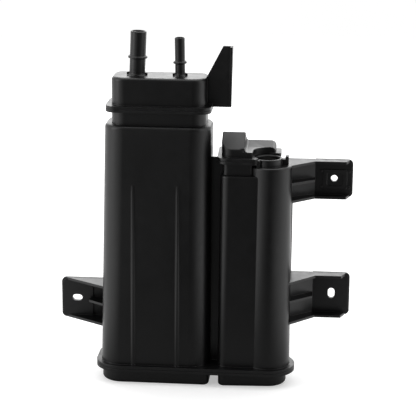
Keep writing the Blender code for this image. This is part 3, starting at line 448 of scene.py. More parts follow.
UPPER_RIGHT_DEPTHS = ((0.1500, 0.0050), (0.1470, 0.0130), (0.1160, 0.0135), (0.0930, 0.0350),
                      (BRACKET_ROOT, 0.0400))
LOWER_RIGHT_DEPTHS = ((0.1490, 0.0050), (0.1450, 0.0150), (0.1190, 0.0155), (0.0945, 0.0420),
                      (BRACKET_ROOT, 0.0500))
LEFT_DEPTHS = ((-0.1366, 0.0030), (-0.0950, 0.0300), (LEFT_ROOT, 0.0320))
UPPER_RIGHT_WEB = (0.0905, 0.0190)
LOWER_RIGHT_WEB = (0.0925, 0.0250)
UPPER_RIGHT_HOLE = (0.1351, TUBE_HEIGHT - 0.0200, 0.0, 0.0)
LOWER_RIGHT_HOLE = (0.1353, 0.0687, 0.0, 0.0020)
LEFT_HOLE = (-0.1253, 0.0548, 0.0017, 0.0)
PAD_SIDE = 0.0190
PAD_INSET = 0.0012
HOLE_STEPS = 48
FRAME_OUTER = (0.0120, 0.0100)
FRAME_INNER = (0.0080, 0.0067)
FRAME_SHIFT = 0.0008
FRAME_RISE = 0.0010
FRAME_CORNER = 0.0020
DOT_REACH = (0.0137, 0.0082)
DOT_RADIUS = 0.0014

# Springs
SPRING_WIRE = 0.0016
MAIN_SPRING_RADIUS = 0.0125
VENT_SPRING_RADIUS = 0.0085
TUBE_SPRING_RADIUS = 0.0110

# Heights of the joints
WELD_Z = TRAY_DEPTH + WELD_FLANGE
FOOT_Z = WELD_Z + GAP / 2
SHOULDER_Z = WELD_Z + BODY_HEIGHT
CAP_WELD_Z = SHOULDER_Z + NECK_HEIGHT + WELD_FLANGE
CAP_TOP_Z = CAP_WELD_Z + WELD_FLANGE + CAP_HEIGHT
VENT_TOP_Z = WELD_Z + VENT_HEIGHT
VENT_WELD_Z = VENT_TOP_Z + VENT_NECK_HEIGHT + WELD_FLANGE
TUBE_TOP_Z = WELD_Z + TUBE_HEIGHT
SEAT_Z = VENT_WELD_Z + GAP / 2
COVER_FLANGE_TOP = VENT_WELD_Z + WELD_FLANGE
TUBE_Y = FRONT + TUBE_RADIUS

# Fineness of the round outlines
CORNER_STEPS = 18
FLANGE_STEPS = 28
TUBE_STEPS = 120
TURN_STEPS = 96
SEAT_STEPS = 24
DOT_STEPS = 24
ARC_STEPS = 10
ROUND_STEPS = 8
BEVEL_STEPS = 3
MERGE = 0.00001
SHARP_ANGLE = math.radians(28.0)


def hull(circles, steps=CORNER_STEPS):
    """Outline of the tight band round circles (x, y, radius), listed anticlockwise."""
    normals = []
    for (x0, y0, r0), (x1, y1, r1) in zip(circles, circles[1:] + circles[:1]):
        reach = math.hypot(x1 - x0, y1 - y0)
        normals.append(math.atan2(y1 - y0, x1 - x0) - math.acos((r0 - r1) / reach))
    points = []
    for index, (x, y, radius) in enumerate(circles):
        start, end = normals[index - 1], normals[index]
        sweep = (end - start) % math.tau
        for step in range(steps + 1):
            angle = start + sweep * step / steps
            points.append((x + radius * math.cos(angle), y + radius * math.sin(angle)))
    return points


def grown(circles, by):
    return [(x, y, radius + by) for x, y, radius in circles]


def between(low, high, share):
    return [tuple(a + (b - a) * share for a, b in zip(one, other)) for one, other in zip(low, high)]


def four_corners(x0, x1, y0, y1, front_radius, back_radius):
    """Corner circles of a rounded rectangle, anticlockwise from the front left."""
    f, b = front_radius, back_radius
    return [(x0 + f, y0 + f, f), (x1 - f, y0 + f, f), (x1 - b, y1 - b, b), (x0 + b, y1 - b, b)]


def circle(x, y, radius, steps=TUBE_STEPS):
    turn = [math.tau * step / steps for step in range(steps)]
    return [(x + radius * math.cos(a), y + radius * math.sin(a)) for a in turn]


def quarter_turn(steps):
    return [math.pi / 2 * step / steps for step in range(steps + 1)]


def rounded_polygon(corners):
    """Outline through corners (x, y, radius), with an arc at each, convex or concave."""
    points = []
    count = len(corners)
    for index, (x, y, radius) in enumerate(corners):
        here = Vector((x, y))
        before = (Vector(corners[index - 1][:2]) - here).normalized()
        after = (Vector(corners[(index + 1) % count][:2]) - here).normalized()
        half = before.angle(after) / 2
        if radius == 0.0:
            points.append((x, y))
            continue
        centre = here + (before + after).normalized() * radius / math.sin(half)
        start = here + before * radius / math.tan(half) - centre
        end = here + after * radius / math.tan(half) - centre
        turn = start.angle_signed(end)
        for step in range(ARC_STEPS + 1):
            arm = start.copy()
            arm.rotate(Matrix.Rotation(-turn * step / ARC_STEPS, 2))
            points.append(tuple(centre + arm))
    return points


def add_object(name, mesh_data):
    mesh = bpy.data.meshes.new(name)
    mesh_data.to_mesh(mesh)
    mesh_data.free()
    made = bpy.data.objects.new(name, mesh)
    bpy.context.scene.collection.objects.link(made)
    return made


def solid(name, rings):
    """Closed solid through like rings of places, anticlockwise as seen from the last ring's side."""
    mesh = bmesh.new()
    rings = [[mesh.verts.new(place) for place in ring] for ring in rings]
    for low, high in zip(rings, rings[1:]):
        for index in range(len(low)):
            after = (index + 1) % len(low)
            mesh.faces.new((low[index], low[after], high[after], high[index]))
    mesh.faces.new(reversed(rings[0]))
    mesh.faces.new(rings[-1])
    return add_object(name, mesh)


def loft(name, levels):
    """Closed solid through outlines at rising or equal heights: [(z, points), ...]."""
    return solid(name, [[(x, y, z) for x, y in points] for z, points in levels])


def hull_loft(name, levels):
    """Closed solid through the bands round corner circles: [(z, circles), ...]."""
    return loft(name, [(z, hull(circles)) for z, circles in levels])


def slab(name, points, z0, z1):
    return loft(name, [(z0, points), (z1, points)])


def plate_xz(name, points, y0, y1):
    """Plate standing across Y, from an (x, z) outline that is anticlockwise seen from the front."""
    return solid(name, [[(x, y, z) for x, z in points] for y in (y1, y0)])


def plate_yz(name, points, x0, x1):
    """Prism along X, from a (y, z) outline that is anticlockwise seen from +X."""
    return solid(name, [[(x, y, z) for y, z in points] for x in (x0, x1)])


def box(name, x0, x1, y0, y1, z0, z1):
    return slab(name, [(x0, y0), (x1, y0), (x1, y1), (x0, y1)], z0, z1)


def turned(name, x, y, profile, steps=TURN_STEPS):
    """Solid turned about an upright axis, from (radius, z) pairs going up."""
    return loft(name, [(z, circle(x, y, radius, steps)) for radius, z in profile])


def combine(target, tool, operation):
    """Boolean on target, applied with the others when the piece is finished."""
    change = target.modifiers.new(tool.name, "BOOLEAN")
    change.operation = operation
    change.object = tool


def soften(target, width):
    """Round the sharp edges of a convex piece before it is joined to another."""
    change = target.modifiers.new("soften", "BEVEL")
    change.width = width
    change.segments = BEVEL_STEPS
    change.limit_method = "ANGLE"
    change.angle_limit = SHARP_ANGLE


def join(target, *tools):
    for tool in tools:
        combine(target, tool, "UNION")


def cut(target, *tools):
    for tool in tools:
        combine(target, tool, "DIFFERENCE")


def main_section(z, by=0.0):
    """Corner circles of the drafted main chamber at height z, grown by a distance."""
    foot = four_corners(MAIN_LEFT, MAIN_RIGHT, FRONT, BACK, MAIN_FRONT_RADIUS, MAIN_BACK_RADIUS)
    top = four_corners(MAIN_LEFT + MAIN_LEFT_DRAFT, MAIN_RIGHT - DRAFT / 2, FRONT + DRAFT,
                       BACK - DRAFT, MAIN_FRONT_RADIUS, MAIN_BACK_RADIUS)
    return grown(between(foot, top, (z - WELD_Z) / BODY_HEIGHT), by)


def neck_section(by=0.0):
    return grown(four_corners(NECK_LEFT, NECK_RIGHT, NECK_FRONT, NECK_BACK,
                              NECK_FRONT_RADIUS, NECK_BACK_RADIUS), by)


def cap_flange_section():
    """Corner circles of the weld flange under the cap, squarer at the front than the neck."""
    out = WELD_OVERHANG
    return four_corners(NECK_LEFT - out, NECK_RIGHT + out, NECK_FRONT - out, NECK_BACK + out,
                        CAP_FLANGE_RADIUS, NECK_BACK_RADIUS + out)


def vent_section(z, by=0.0):
    foot = four_corners(VENT_LEFT, VENT_RIGHT, VENT_FRONT, BACK, VENT_RADIUS, VENT_RADIUS)
    top = four_corners(VENT_LEFT + DRAFT, VENT_RIGHT - DRAFT, VENT_FRONT + DRAFT, BACK - DRAFT,
                       VENT_RADIUS, VENT_RADIUS)
    return grown(between(foot, top, (z - WELD_Z) / VENT_HEIGHT), by)


def tube_circle(z, by=0.0):
    return circle(TUBE_X, TUBE_Y, TUBE_RADIUS - TUBE_DRAFT * (z - WELD_Z) / TUBE_HEIGHT + by)


def flange_section():
    """Corner circles of the common bottom flange, round both chambers and the tube."""
    out = WELD_OVERHANG
    return [(MAIN_LEFT + MAIN_FRONT_RADIUS, FRONT + MAIN_FRONT_RADIUS, MAIN_FRONT_RADIUS + out),
            (TUBE_X, TUBE_Y, TUBE_RADIUS + out),
            (VENT_RIGHT - VENT_RADIUS, BACK - VENT_RADIUS, VENT_RADIUS + out),
            (MAIN_LEFT + MAIN_BACK_RADIUS, BACK - MAIN_BACK_RADIUS, MAIN_BACK_RADIUS + out)]


def l_section(by=0.0, corner=VENT_NECK_RADIUS, tight=VENT_NECK_CORNER):
    """L-shaped outline of the vent neck: a full-depth left part and an arm along the back."""
    x0, x1, x2 = VENT_NECK_LEFT - by, VENT_NECK_RIGHT + by, DUCT_RIGHT + by
    y0, y1 = VENT_NECK_FRONT - by, VENT_NECK_BACK + by
    inner = DUCT_FRONT - min(by, DUCT_FLANGE_FRONT)
    return rounded_polygon([(x0, y0, VENT_NECK_RADIUS + by), (x1, y0, tight),
                            (x1, inner, VENT_NECK_HOLLOW - by), (x2, inner, tight),
                            (x2, y1, tight), (x0 - VENT_NECK_LEAN, y1, corner)])


def l_flange():
    return l_section(WELD_OVERHANG, VENT_FLANGE_CORNER, VENT_FLANGE_CORNER)


def shoulder_levels(z_top, section, round_by):
    """Levels of a rounded top edge, drawn in from a section function."""
    return [(z_top - round_by + round_by * math.sin(a), section(z_top, -round_by * (1 - math.cos(a))))
            for a in quarter_turn(ROUND_STEPS)]


def plate_outline(tip, inner, low, high):
    """Outline with two round corners at its tip, anticlockwise if the tip is on the right."""
    corner = BRACKET_CORNER
    return rounded_polygon([(tip, low, corner), (tip, high, corner), (inner, high, 0.0), (inner, low, 0.0)])


def bracket(name, tip, plan, heights, pad_end, web=None, rib_line=None):
    """Back plate with top and bottom flanges and a middle rib; plan gives the flange depths.

    A web (x, depth) leads the plate forward to the chamber in place of its inner part.
    """
    (rib_x, rib_from), (_, rib_to) = rib_line or ((pad_end, depth_at(plan, pad_end)), plan[-1])
    low, high, rib_at = (WELD_Z + height for height in heights)
    root = plan[-1][0]
    out = 1 if tip > root else -1
    back = BRACKET_BACK
    thick = BRACKET_PLATE
    sunk = back - thick / 2
    plate = plate_outline(tip, pad_end if web else root, low, high)
    pieces = [plate_xz(name + "_plate", plate[::out], back - thick, back)]
    if web:
        x, depth = web
        leaf = [(pad_end + thick, back - SLIVER), (pad_end + thick, back - BRACKET_PAD + SLIVER),
                (pad_end, back - BRACKET_PAD + SLIVER), (x, back - depth), (x - thick, back - depth),
                (x - thick, back - depth + thick), (pad_end - thick, back - SLIVER)]
        pieces.append(slab(name + "_web", leaf[::-1], low + thick / 2, high - thick / 2))
    pad = plate_outline(tip - out * PAD_INSET, pad_end, low + PAD_INSET, high - PAD_INSET)
    pieces.append(plate_xz(name + "_pad", pad[::out], back - BRACKET_PAD, sunk))
    ring = [(plan[0][0], sunk)] + [(x, back - depth) for x, depth in plan] + [(root, sunk)]
    pieces.append(slab(name + "_top", ring[::-out], high - thick, high - SLIVER))
    pieces.append(slab(name + "_foot", ring[::-out], low + SLIVER, low + thick))
    rib = [(rib_x, sunk), (rib_x, back - rib_from), (root, back - rib_to), (root, sunk)]
    pieces.append(slab(name + "_rib", rib[::-out], rib_at - thick / 2, rib_at + thick / 2))
    return pieces


def depth_at(plan, x):
    """Flange depth of a bracket at x, straight between the listed points."""
    for (x0, d0), (x1, d1) in zip(plan, plan[1:]):
        if min(x0, x1) <= x <= max(x0, x1):
            return d0 + (d1 - d0) * (x - x0) / (x1 - x0)
    return plan[-1][1]


def bolt_hole(name, x, height, reach_x, reach_z):
    """Cutter for a round hole, or for a slot that reaches a distance to each side."""
    points = []
    for step in range(HOLE_STEPS):
        angle = math.tau * (step + 0.5) / HOLE_STEPS
        across, up = math.cos(angle), math.sin(angle)
        points.append((x + BRACKET_HOLE_RADIUS * across + math.copysign(reach_x, across),
                       WELD_Z + height + BRACKET_HOLE_RADIUS * up + math.copysign(reach_z, up)))
    return plate_xz(name, points, BRACKET_BACK - 2 * BRACKET_PAD, BRACKET_BACK + OVERLAP)


def hole_frame(name, x, height, *_):
    """Low raised frame round a bolt hole, with a round dot outside each corner."""
    middle_x, middle_z = x + FRAME_SHIFT, WELD_Z + height - FRAME_SHIFT
    front = BRACKET_BACK - BRACKET_PAD
    rings = []
    for across, up in (FRAME_OUTER, FRAME_INNER):
        corners = [(-across, -up), (across, -up), (across, up), (-across, up)]
        rings.append(rounded_polygon([(middle_x + a, middle_z + b, FRAME_CORNER) for a, b in corners]))
    frame = plate_xz(name, rings[0], front - FRAME_RISE, front + FRAME_RISE)
    cut(frame, plate_xz(name + "_inside", rings[1], front - 2 * FRAME_RISE, front + 2 * FRAME_RISE))
    pieces = [frame]
    for side, rise in ((-1, -1), (1, -1), (1, 1), (-1, 1)):
        spot = circle(middle_x + side * DOT_REACH[0], middle_z + rise * DOT_REACH[1], DOT_RADIUS,
                      DOT_STEPS)
        pieces.append(plate_xz("%s_dot_%d" % (name, len(pieces)), spot, front - FRAME_RISE,
                               front + FRAME_RISE / 2))
    return pieces


def front_rib(name, x):
    """Low raised rib that follows the drafted front and fades out at its top."""
    top = WELD_Z + RIB_TOP
    foot, crest = RIB_WIDTH / 2, RIB_CREST / 2
    levels = []
    for z, rise in ((FOOT_Z + OVERLAP, RIB_RISE), (top - RIB_TAPER, RIB_RISE), (top, SLIVER)):
        face = FRONT + DRAFT * (z - WELD_Z) / BODY_HEIGHT
        levels.append((z, [(x - foot, face), (x - crest, face - rise), (x + crest, face - rise),
                           (x + foot, face), (x + foot, face + OVERLAP), (x - foot, face + OVERLAP)]))
    return loft(name, levels)


def main_shell():
    start = FOOT_Z + WELD_FLANGE / 2
    neck_top = CAP_WELD_Z - WELD_FLANGE
    body = [(start, main_section(start))]
    body += shoulder_levels(SHOULDER_Z, main_section, SHOULDER_ROUND)
    body += [(SHOULDER_Z, neck_section()), (neck_top, neck_section()), (neck_top, cap_flange_section()),
             (CAP_WELD_Z - GAP / 2, cap_flange_section())]
    return hull_loft("main_shell", body)


def vent_shell():
    start = FOOT_Z + WELD_FLANGE / 2
    return hull_loft("vent_shell", [(start, vent_section(start))]
                     + shoulder_levels(VENT_TOP_Z, vent_section, TUBE_ROUND))


def vent_neck():
    flange_low = VENT_WELD_Z - WELD_FLANGE
    return loft("vent_neck", [(VENT_TOP_Z - WALL, l_section()), (flange_low, l_section()),
                              (flange_low, l_flange()), (VENT_WELD_Z - GAP / 2, l_flange())])


def chamber_cores():
    """Cutters for the main chamber, the vent chamber and the vent neck."""
    low = FOOT_Z - OVERLAP
    ceiling = SHOULDER_Z - WALL
    main_core = [(low, main_section(low, -WALL)), (ceiling, main_section(ceiling, -WALL)),
                 (ceiling, neck_section(-WALL)), (CAP_WELD_Z + OVERLAP, neck_section(-WALL))]
    vent_ceiling = VENT_TOP_Z - WALL
    vent_core = [(low, vent_section(low, -WALL)), (vent_ceiling, vent_section(vent_ceiling, -WALL))]
    return [hull_loft("main_core", main_core), hull_loft("vent_core", vent_core),
            slab("vent_neck_core", l_section(-WALL), vent_ceiling - OVERLAP, VENT_WELD_Z + OVERLAP)]


def tube_shell():
    return loft("tube_shell", [(FOOT_Z, tube_circle(FOOT_Z))]
                + shoulder_levels(TUBE_TOP_Z, tube_circle, TUBE_ROUND))


def mouth_pieces():
    """Collar of the vent mouth with the lug and the key that place its hose."""
    top = TUBE_TOP_Z + MOUTH_HEIGHT
    low = TUBE_TOP_Z - OVERLAP
    rim = MOUTH_CHAMFER / 2
    collar = turned("mouth_collar", MOUTH_X, MOUTH_Y,
                    [(MOUTH_RADIUS, low), (MOUTH_RADIUS, top - rim), (MOUTH_RADIUS - rim, top)])
    from_x, step_x, to_x = MOUTH_X + LUG_FROM, MOUTH_X + LUG_STEP, MOUTH_X + LUG_TO
    low_z, high_z = TUBE_TOP_Z + LUG_LOW, TUBE_TOP_Z + LUG_HIGH
    outline = [(from_x, low), (to_x, low), (to_x, high_z), (step_x, high_z), (step_x, low_z),
               (from_x, low_z)]
    lug = plate_xz("mouth_lug", outline, MOUTH_Y, MOUTH_Y + LUG_BACK)
    key_x = MOUTH_X - KEY_LEFT
    key = box("mouth_key", key_x, key_x + KEY_WIDTH, MOUTH_Y - MOUTH_RADIUS - KEY_RISE,
              MOUTH_Y - MOUTH_RADIUS / 2, low, top - rim)
    return [collar, lug, key]


def build_housing():
    housing = slab("housing_fine", hull(flange_section(), FLANGE_STEPS), FOOT_Z, FOOT_Z + WELD_FLANGE)
    join(housing, main_shell(), vent_shell(), vent_neck(),
         box("web", MAIN_RIGHT - WALL, VENT_LEFT + WALL, WEB_Y - WEB_THICKNESS / 2,
             WEB_Y + WEB_THICKNESS / 2, FOOT_Z + WELD_FLANGE / 2, WELD_Z + WEB_HEIGHT))
    for index, x in enumerate(RIB_XS):
        join(housing, front_rib("front_rib_%d" % index, x))
    join(housing, box("bracket_strip", BRACKET_ROOT, STRIP_RIGHT, BACK - STRIP_DEPTH,
                      BRACKET_BACK - SLIVER, WELD_Z + STRIP_FROM, WELD_Z + STRIP_TO))
    join(housing, *bracket("upper_right", RIGHT_BRACKET_TIP, UPPER_RIGHT_DEPTHS, UPPER_RIGHT_HEIGHTS,
                           UPPER_RIGHT_HOLE[0] - PAD_SIDE, UPPER_RIGHT_WEB),
         *hole_frame("hole_frame", *UPPER_RIGHT_HOLE),
         *bracket("lower_right", RIGHT_BRACKET_TIP, LOWER_RIGHT_DEPTHS, LOWER_RIGHT_HEIGHTS,
                  LOWER_RIGHT_HOLE[0] - PAD_SIDE, LOWER_RIGHT_WEB),
         *bracket("left", LEFT_BRACKET_TIP, LEFT_DEPTHS, LEFT_HEIGHTS, LEFT_HOLE[0] + LEFT_PAD_SIDE,
                  rib_line=LEFT_RIB_LINE))
    cut(housing, *chamber_cores())
    join(housing, tube_shell())
    join(housing, box("partition", PARTITION_X, PARTITION_X + PARTITION, TUBE_Y + TUBE_RADIUS / 2,
                      BACK - DRAFT - OVERLAP, FOOT_Z, VENT_TOP_Z - OVERLAP))
    join(housing, *mouth_pieces())
    low, ceiling = FOOT_Z - OVERLAP, TUBE_TOP_Z - WALL
    cut(housing, loft("tube_core", [(low, tube_circle(low, -TUBE_INSIDE_WALL)),
                                    (ceiling, tube_circle(TUBE_TOP_Z, -TUBE_INSIDE_WALL))]))
    top = TUBE_TOP_Z + MOUTH_HEIGHT
    cut(housing, turned("mouth_bore", MOUTH_X, MOUTH_Y,
                        [(MOUTH_BORE, ceiling - OVERLAP), (MOUTH_BORE, top - MOUTH_CHAMFER),
                         (MOUTH_BORE + 2 * MOUTH_CHAMFER, top + MOUTH_CHAMFER)]))
    cut(housing, bolt_hole("upper_right_hole", *UPPER_RIGHT_HOLE),
        bolt_hole("lower_right_hole", *LOWER_RIGHT_HOLE), bolt_hole("left_hole", *LEFT_HOLE))
    return housing


def port_place(x, lean):
    return Matrix.Translation((x, PORT_Y, CAP_TOP_Z)) @ Matrix.Rotation(lean, 4, "Y")


def port(name, x, radius, length, bead_at, lean):
    """Hose stub with a hollow round its foot, a bead, a rounded tip and four small gussets."""
    pad, half = radius + PAD_REACH, BEAD_LENGTH / 2
    profile = [(pad, -WALL / 2)]
    profile += [(pad - PAD_REACH * math.sin(a), SLIVER + PAD_REACH * (1 - math.cos(a)))
                for a in quarter_turn(ARC_STEPS)]
    profile += [(radius + BEAD_RISE * rise, bead_at + half * along) for along, rise in BEAD_SHAPE]
    profile += [(radius - TIP_ROUND * inward, length + TIP_ROUND * along) for along, inward in TIP_SHAPE]
    pieces = [turned(name, 0.0, 0.0, profile)]
    pieces[0].matrix_world = port_place(x, lean)
    inner = radius - 2 * BEAD_RISE / 3
    outline = [(inner, -SLIVER), (pad, -SLIVER), (pad, GUSSET_LOW), (radius + GUSSET / 2, GUSSET_HIGH),
               (inner, GUSSET_HIGH)]
    for quarter in range(4):
        gusset = plate_xz("%s_gusset_%d" % (name, quarter), outline, -GUSSET / 2, GUSSET / 2)
        gusset.matrix_world = port_place(x, lean) @ Matrix.Rotation(math.tau * quarter / 4, 4, "Z")
        pieces.append(gusset)
    return pieces


def port_bore(name, x, bore, length, lean):
    made = turned(name, 0.0, 0.0, [(bore, -WALL - OVERLAP), (bore, length - OVERLAP / 2),
                                   (bore + OVERLAP, length + OVERLAP / 2)])
    made.matrix_world = port_place(x, lean)
    return made


def fin_pieces(seat):
    """Upright fin beside the cap and the flange along its outer edge."""
    foot, top = seat + SLIVER, CAP_TOP_Z + FIN_RISE
    slant_foot = CAP_TOP_Z - CAP_ROUND / 3
    thick = FIN_THICKNESS
    outline = [(NECK_RIGHT - WALL / 2, foot, 0.0), (FIN_RIGHT - FIN_DRAFT, foot, thick / 2),
               (FIN_RIGHT, top, 0.0), (FIN_RIGHT - FIN_TOP_WIDTH, top, thick / 4),
               (NECK_RIGHT - thick / 2, slant_foot, 0.0),
               (NECK_RIGHT - WALL / 2, CAP_TOP_Z - CAP_ROUND, 0.0)]
    plate = plate_xz("fin", rounded_polygon(outline), FIN_Y, FIN_Y + thick)
    sunk = FIN_Y + thick / 2
    side = [(FIN_Y - FIN_FOOT_DEPTH, foot + thick), (sunk, foot + thick), (sunk, top - SLIVER),
            (FIN_Y - FIN_FLANGE_DEPTH, top - SLIVER)]
    flange = plate_yz("fin_flange", side, -thick, 0.0)
    lean = math.atan2(FIN_DRAFT, top - foot)
    flange.matrix_world = (Matrix.Translation((FIN_RIGHT - SLIVER, 0.0, top)) @ Matrix.Rotation(lean, 4, "Y")
                           @ Matrix.Translation((0.0, 0.0, -top)))
    return [plate, flange]


def build_cap():
    seat = CAP_WELD_Z + GAP / 2
    flange_top = CAP_WELD_Z + WELD_FLANGE
    levels = [(seat, cap_flange_section()), (flange_top, cap_flange_section()),
              (flange_top, neck_section())]
    levels += shoulder_levels(CAP_TOP_Z, lambda z, by: neck_section(by), CAP_ROUND)
    cap = hull_loft("top_cap_fine", levels)
    join(cap, *port("tank_port", TANK_X, TANK_RADIUS, TANK_LENGTH, TANK_BEAD_AT, TANK_LEAN))
    join(cap, *port("purge_port", PURGE_X, PURGE_RADIUS, PURGE_LENGTH, PURGE_BEAD_AT, PURGE_LEAN))
    join(cap, *fin_pieces(seat))
    ceiling = CAP_TOP_Z - WALL
    cut(cap, slab("cap_core", hull(neck_section(-WALL)), seat - OVERLAP, ceiling))
    half = WALL / 2
    join(cap, box("port_divider", DIVIDER_X - half, DIVIDER_X + half, NECK_FRONT + WALL - OVERLAP,
                  NECK_BACK - WALL + OVERLAP, seat, ceiling + OVERLAP))
    cut(cap, port_bore("tank_bore", TANK_X, TANK_BORE, TANK_LENGTH, TANK_LEAN),
        port_bore("purge_bore", PURGE_X, PURGE_BORE, PURGE_LENGTH, PURGE_LEAN))
    return cap


def duct_box(name, grow):
    """Tall box on the left of the duct, its roof falling from a ridge to front and back."""
    x0, x1 = BOX_LEFT - grow, BOX_RIGHT + grow
    sides = (x0, x1, VENT_NECK_FRONT - grow, VENT_NECK_BACK + grow)
    wide = four_corners(*sides, BOX_CORNER + grow, BOX_CORNER + grow)
    tight = four_corners(*sides, DUCT_FILLET + grow, DUCT_FILLET + grow)
    outline = hull(wide[:1] + tight[1:])
    ridge = (VENT_NECK_FRONT + VENT_NECK_BACK) / 2
    half = ridge - VENT_NECK_FRONT
    high = COVER_FLANGE_TOP + BOX_HEIGHT + grow
    front_eaves = high - (BOX_HEIGHT - BOX_FRONT_HEIGHT) * (half + ROOM) / half
    back_eaves = high - (BOX_HEIGHT - BOX_BACK_HEIGHT) * (half + ROOM) / half
    base = SEAT_Z + OVERLAP if grow == 0.0 else SEAT_Z - OVERLAP
    block = slab(name, outline, base, high + ROOM)
    front, back = VENT_NECK_FRONT - ROOM, VENT_NECK_BACK + ROOM
    roof = [(front, base - ROOM), (back, base - ROOM), (back, back_eaves), (ridge, high),
            (front, front_eaves)]
    combine(block, plate_yz(name + "_roof", roof, x0 - ROOM, x1 + ROOM), "INTERSECT")
    if grow == 0.0:
        soften(block, DUCT_EDGE_ROUND)
    return block


def leaning_prism(name, outline, y0, y1):
    """Prism from y0 to y1 that falls to the front with the slope of the arm."""
    made = plate_xz(name, outline, y0 - VENT_NECK_BACK, y1 - VENT_NECK_BACK)
    shear = Matrix.Identity(4)
    shear[2][1] = math.tan(DUCT_SLOPE)
    made.data.transform(shear)
    made.matrix_world = Matrix.Translation((0.0, VENT_NECK_BACK, 0.0))
    return made


def duct_arm(name, grow):
    """Low arm along the back, led into the box by a wide hollow round the vent mouth."""
    inner, back = DUCT_FRONT - grow, VENT_NECK_BACK + grow
    start, right = VENT_NECK_RIGHT + grow, DUCT_RIGHT + grow
    hollow, tight = DUCT_HOLLOW - grow, DUCT_FILLET
    tail = inner - hollow - OVERLAP
    inside = (BOX_LEFT + BOX_RIGHT) / 2
    outline = rounded_polygon([(inside, tail, 0.0), (start, tail, 0.0), (start, inner, hollow),
                               (right, inner, tight), (right, back, tight), (inside, back, 0.0)])
    high = COVER_FLANGE_TOP + DUCT_HEIGHT + grow
    base = SEAT_Z + OVERLAP if grow == 0.0 else SEAT_Z - OVERLAP
    block = slab(name, outline, base, high + ROOM)
    roof = rounded_polygon([(BOX_LEFT, base - ROOM, 0.0), (right + SLIVER, base - ROOM, 0.0),
                            (right + SLIVER, high, DUCT_END_ROUND), (BOX_LEFT, high, 0.0)])
    combine(block, leaning_prism(name + "_roof", roof, tail - ROOM, back + ROOM), "INTERSECT")
    if grow == 0.0:
        soften(block, DUCT_EDGE_ROUND / 2)
    return block


def duct_step():
    """Low step on the right of the box, from its front to the hollow of the arm."""
    end = VENT_NECK_RIGHT + DUCT_HOLLOW + OVERLAP
    back = DUCT_FRONT + 2 * OVERLAP
    outline = rounded_polygon([(BOX_LEFT + BOX_CORNER, VENT_NECK_FRONT, 0.0),
                               (VENT_NECK_RIGHT, VENT_NECK_FRONT, DUCT_FILLET / 2),
                               (VENT_NECK_RIGHT, DUCT_FRONT, DUCT_HOLLOW), (end, DUCT_FRONT, 0.0),
                               (end, back, 0.0), (BOX_LEFT + BOX_CORNER, back, 0.0)])
    step = slab("duct_step", outline, SEAT_Z + OVERLAP, COVER_FLANGE_TOP + BOX_STEP_HEIGHT)
    soften(step, DUCT_EDGE_ROUND / 2)
    return step


def fillet_outline(height, radius):
    """Section of a hollow fillet against the right side of the box, at a height on the flange."""
    top = COVER_FLANGE_TOP + height - SLIVER
    arc = [(BOX_RIGHT + radius * (1 - math.sin(a)), top + radius * (1 - math.cos(a)))
           for a in quarter_turn(ARC_STEPS)]
    return ([(BOX_RIGHT - radius, top - radius), (BOX_RIGHT + radius, top - radius)] + arc
            + [(BOX_RIGHT - radius, top + radius)])


def duct_fillets():
    """Hollow fillets where the side of the box meets the roof of the arm and the step."""
    arm = leaning_prism("duct_fillet", fillet_outline(DUCT_HEIGHT, DUCT_FILLET), DUCT_FRONT,
                        VENT_NECK_BACK - DUCT_EDGE_ROUND)
    step = plate_xz("step_fillet", fillet_outline(BOX_STEP_HEIGHT, STEP_FILLET),
                    VENT_NECK_FRONT + STEP_FILLET / 4, DUCT_FRONT + OVERLAP)
    return [arm, step]


def build_vent_cover():
    cover = slab("vent_cover_fine", l_flange(), SEAT_Z, COVER_FLANGE_TOP)
    join(cover, duct_box("duct_box", 0.0), duct_arm("duct_arm", 0.0), duct_step(), *duct_fillets())
    cut(cover, duct_box("duct_box_core", -WALL), duct_arm("duct_arm_core", -WALL))
    cut(cover, slab("duct_opening", l_section(-WALL - GAP), SEAT_Z - 2 * OVERLAP,
                    COVER_FLANGE_TOP - WALL / 2))
    room = MOUTH_RADIUS + 2 * GAP
    cut(cover, turned("mouth_clearance", MOUTH_X, MOUTH_Y,
                      [(room, SEAT_Z - OVERLAP), (room, COVER_FLANGE_TOP + OVERLAP)]))
    return cover


def tray(name, circles, z_top):
    """Tray with a rounded edge round its underside, up to a height."""
    levels = [(TRAY_ROUND * (1 - math.cos(a)), grown(circles, -TRAY_ROUND * (1 - math.sin(a))))
              for a in quarter_turn(ROUND_STEPS)]
    return hull_loft(name, levels + [(z_top, circles)])


def left_tray(by=0.0):
    sides = (MAIN_LEFT + TRAY_INSET, GROOVE_LEFT, FRONT + TRAY_INSET, BACK - TRAY_INSET)
    outer = four_corners(*sides, MAIN_FRONT_RADIUS, MAIN_BACK_RADIUS)
    tight = four_corners(*sides, TRAY_CORNER, TRAY_CORNER)
    return grown([outer[0], tight[1], tight[2], outer[3]], by)


def right_tray(by=0.0):
    return grown([(GROOVE_RIGHT + TRAY_CORNER, FRONT + TRAY_INSET + TRAY_CORNER, TRAY_CORNER),
                  (TUBE_X, TUBE_Y, TUBE_RADIUS - TRAY_TUBE_INSET),
                  (VENT_RIGHT - VENT_RADIUS, BACK - TRAY_INSET - VENT_RADIUS, VENT_RADIUS),
                  (GROOVE_RIGHT + TRAY_CORNER, BACK - TRAY_INSET - TRAY_CORNER, TRAY_CORNER)], by)


def spring_spots():
    """(name, x, y, outer radius) of each spring."""
    apart = (MAIN_RIGHT - MAIN_LEFT) / 4
    middle = (MAIN_RIGHT + MAIN_LEFT) / 2
    depth = (FRONT + BACK) / 2
    return [("main_spring_left", middle - apart, depth, MAIN_SPRING_RADIUS),
            ("main_spring_right", middle + apart, depth, MAIN_SPRING_RADIUS),
            ("vent_spring", (VENT_LEFT + TUBE_X - TUBE_RADIUS) / 2, depth, VENT_SPRING_RADIUS),
            ("tube_spring", TUBE_X, TUBE_Y, TUBE_SPRING_RADIUS)]


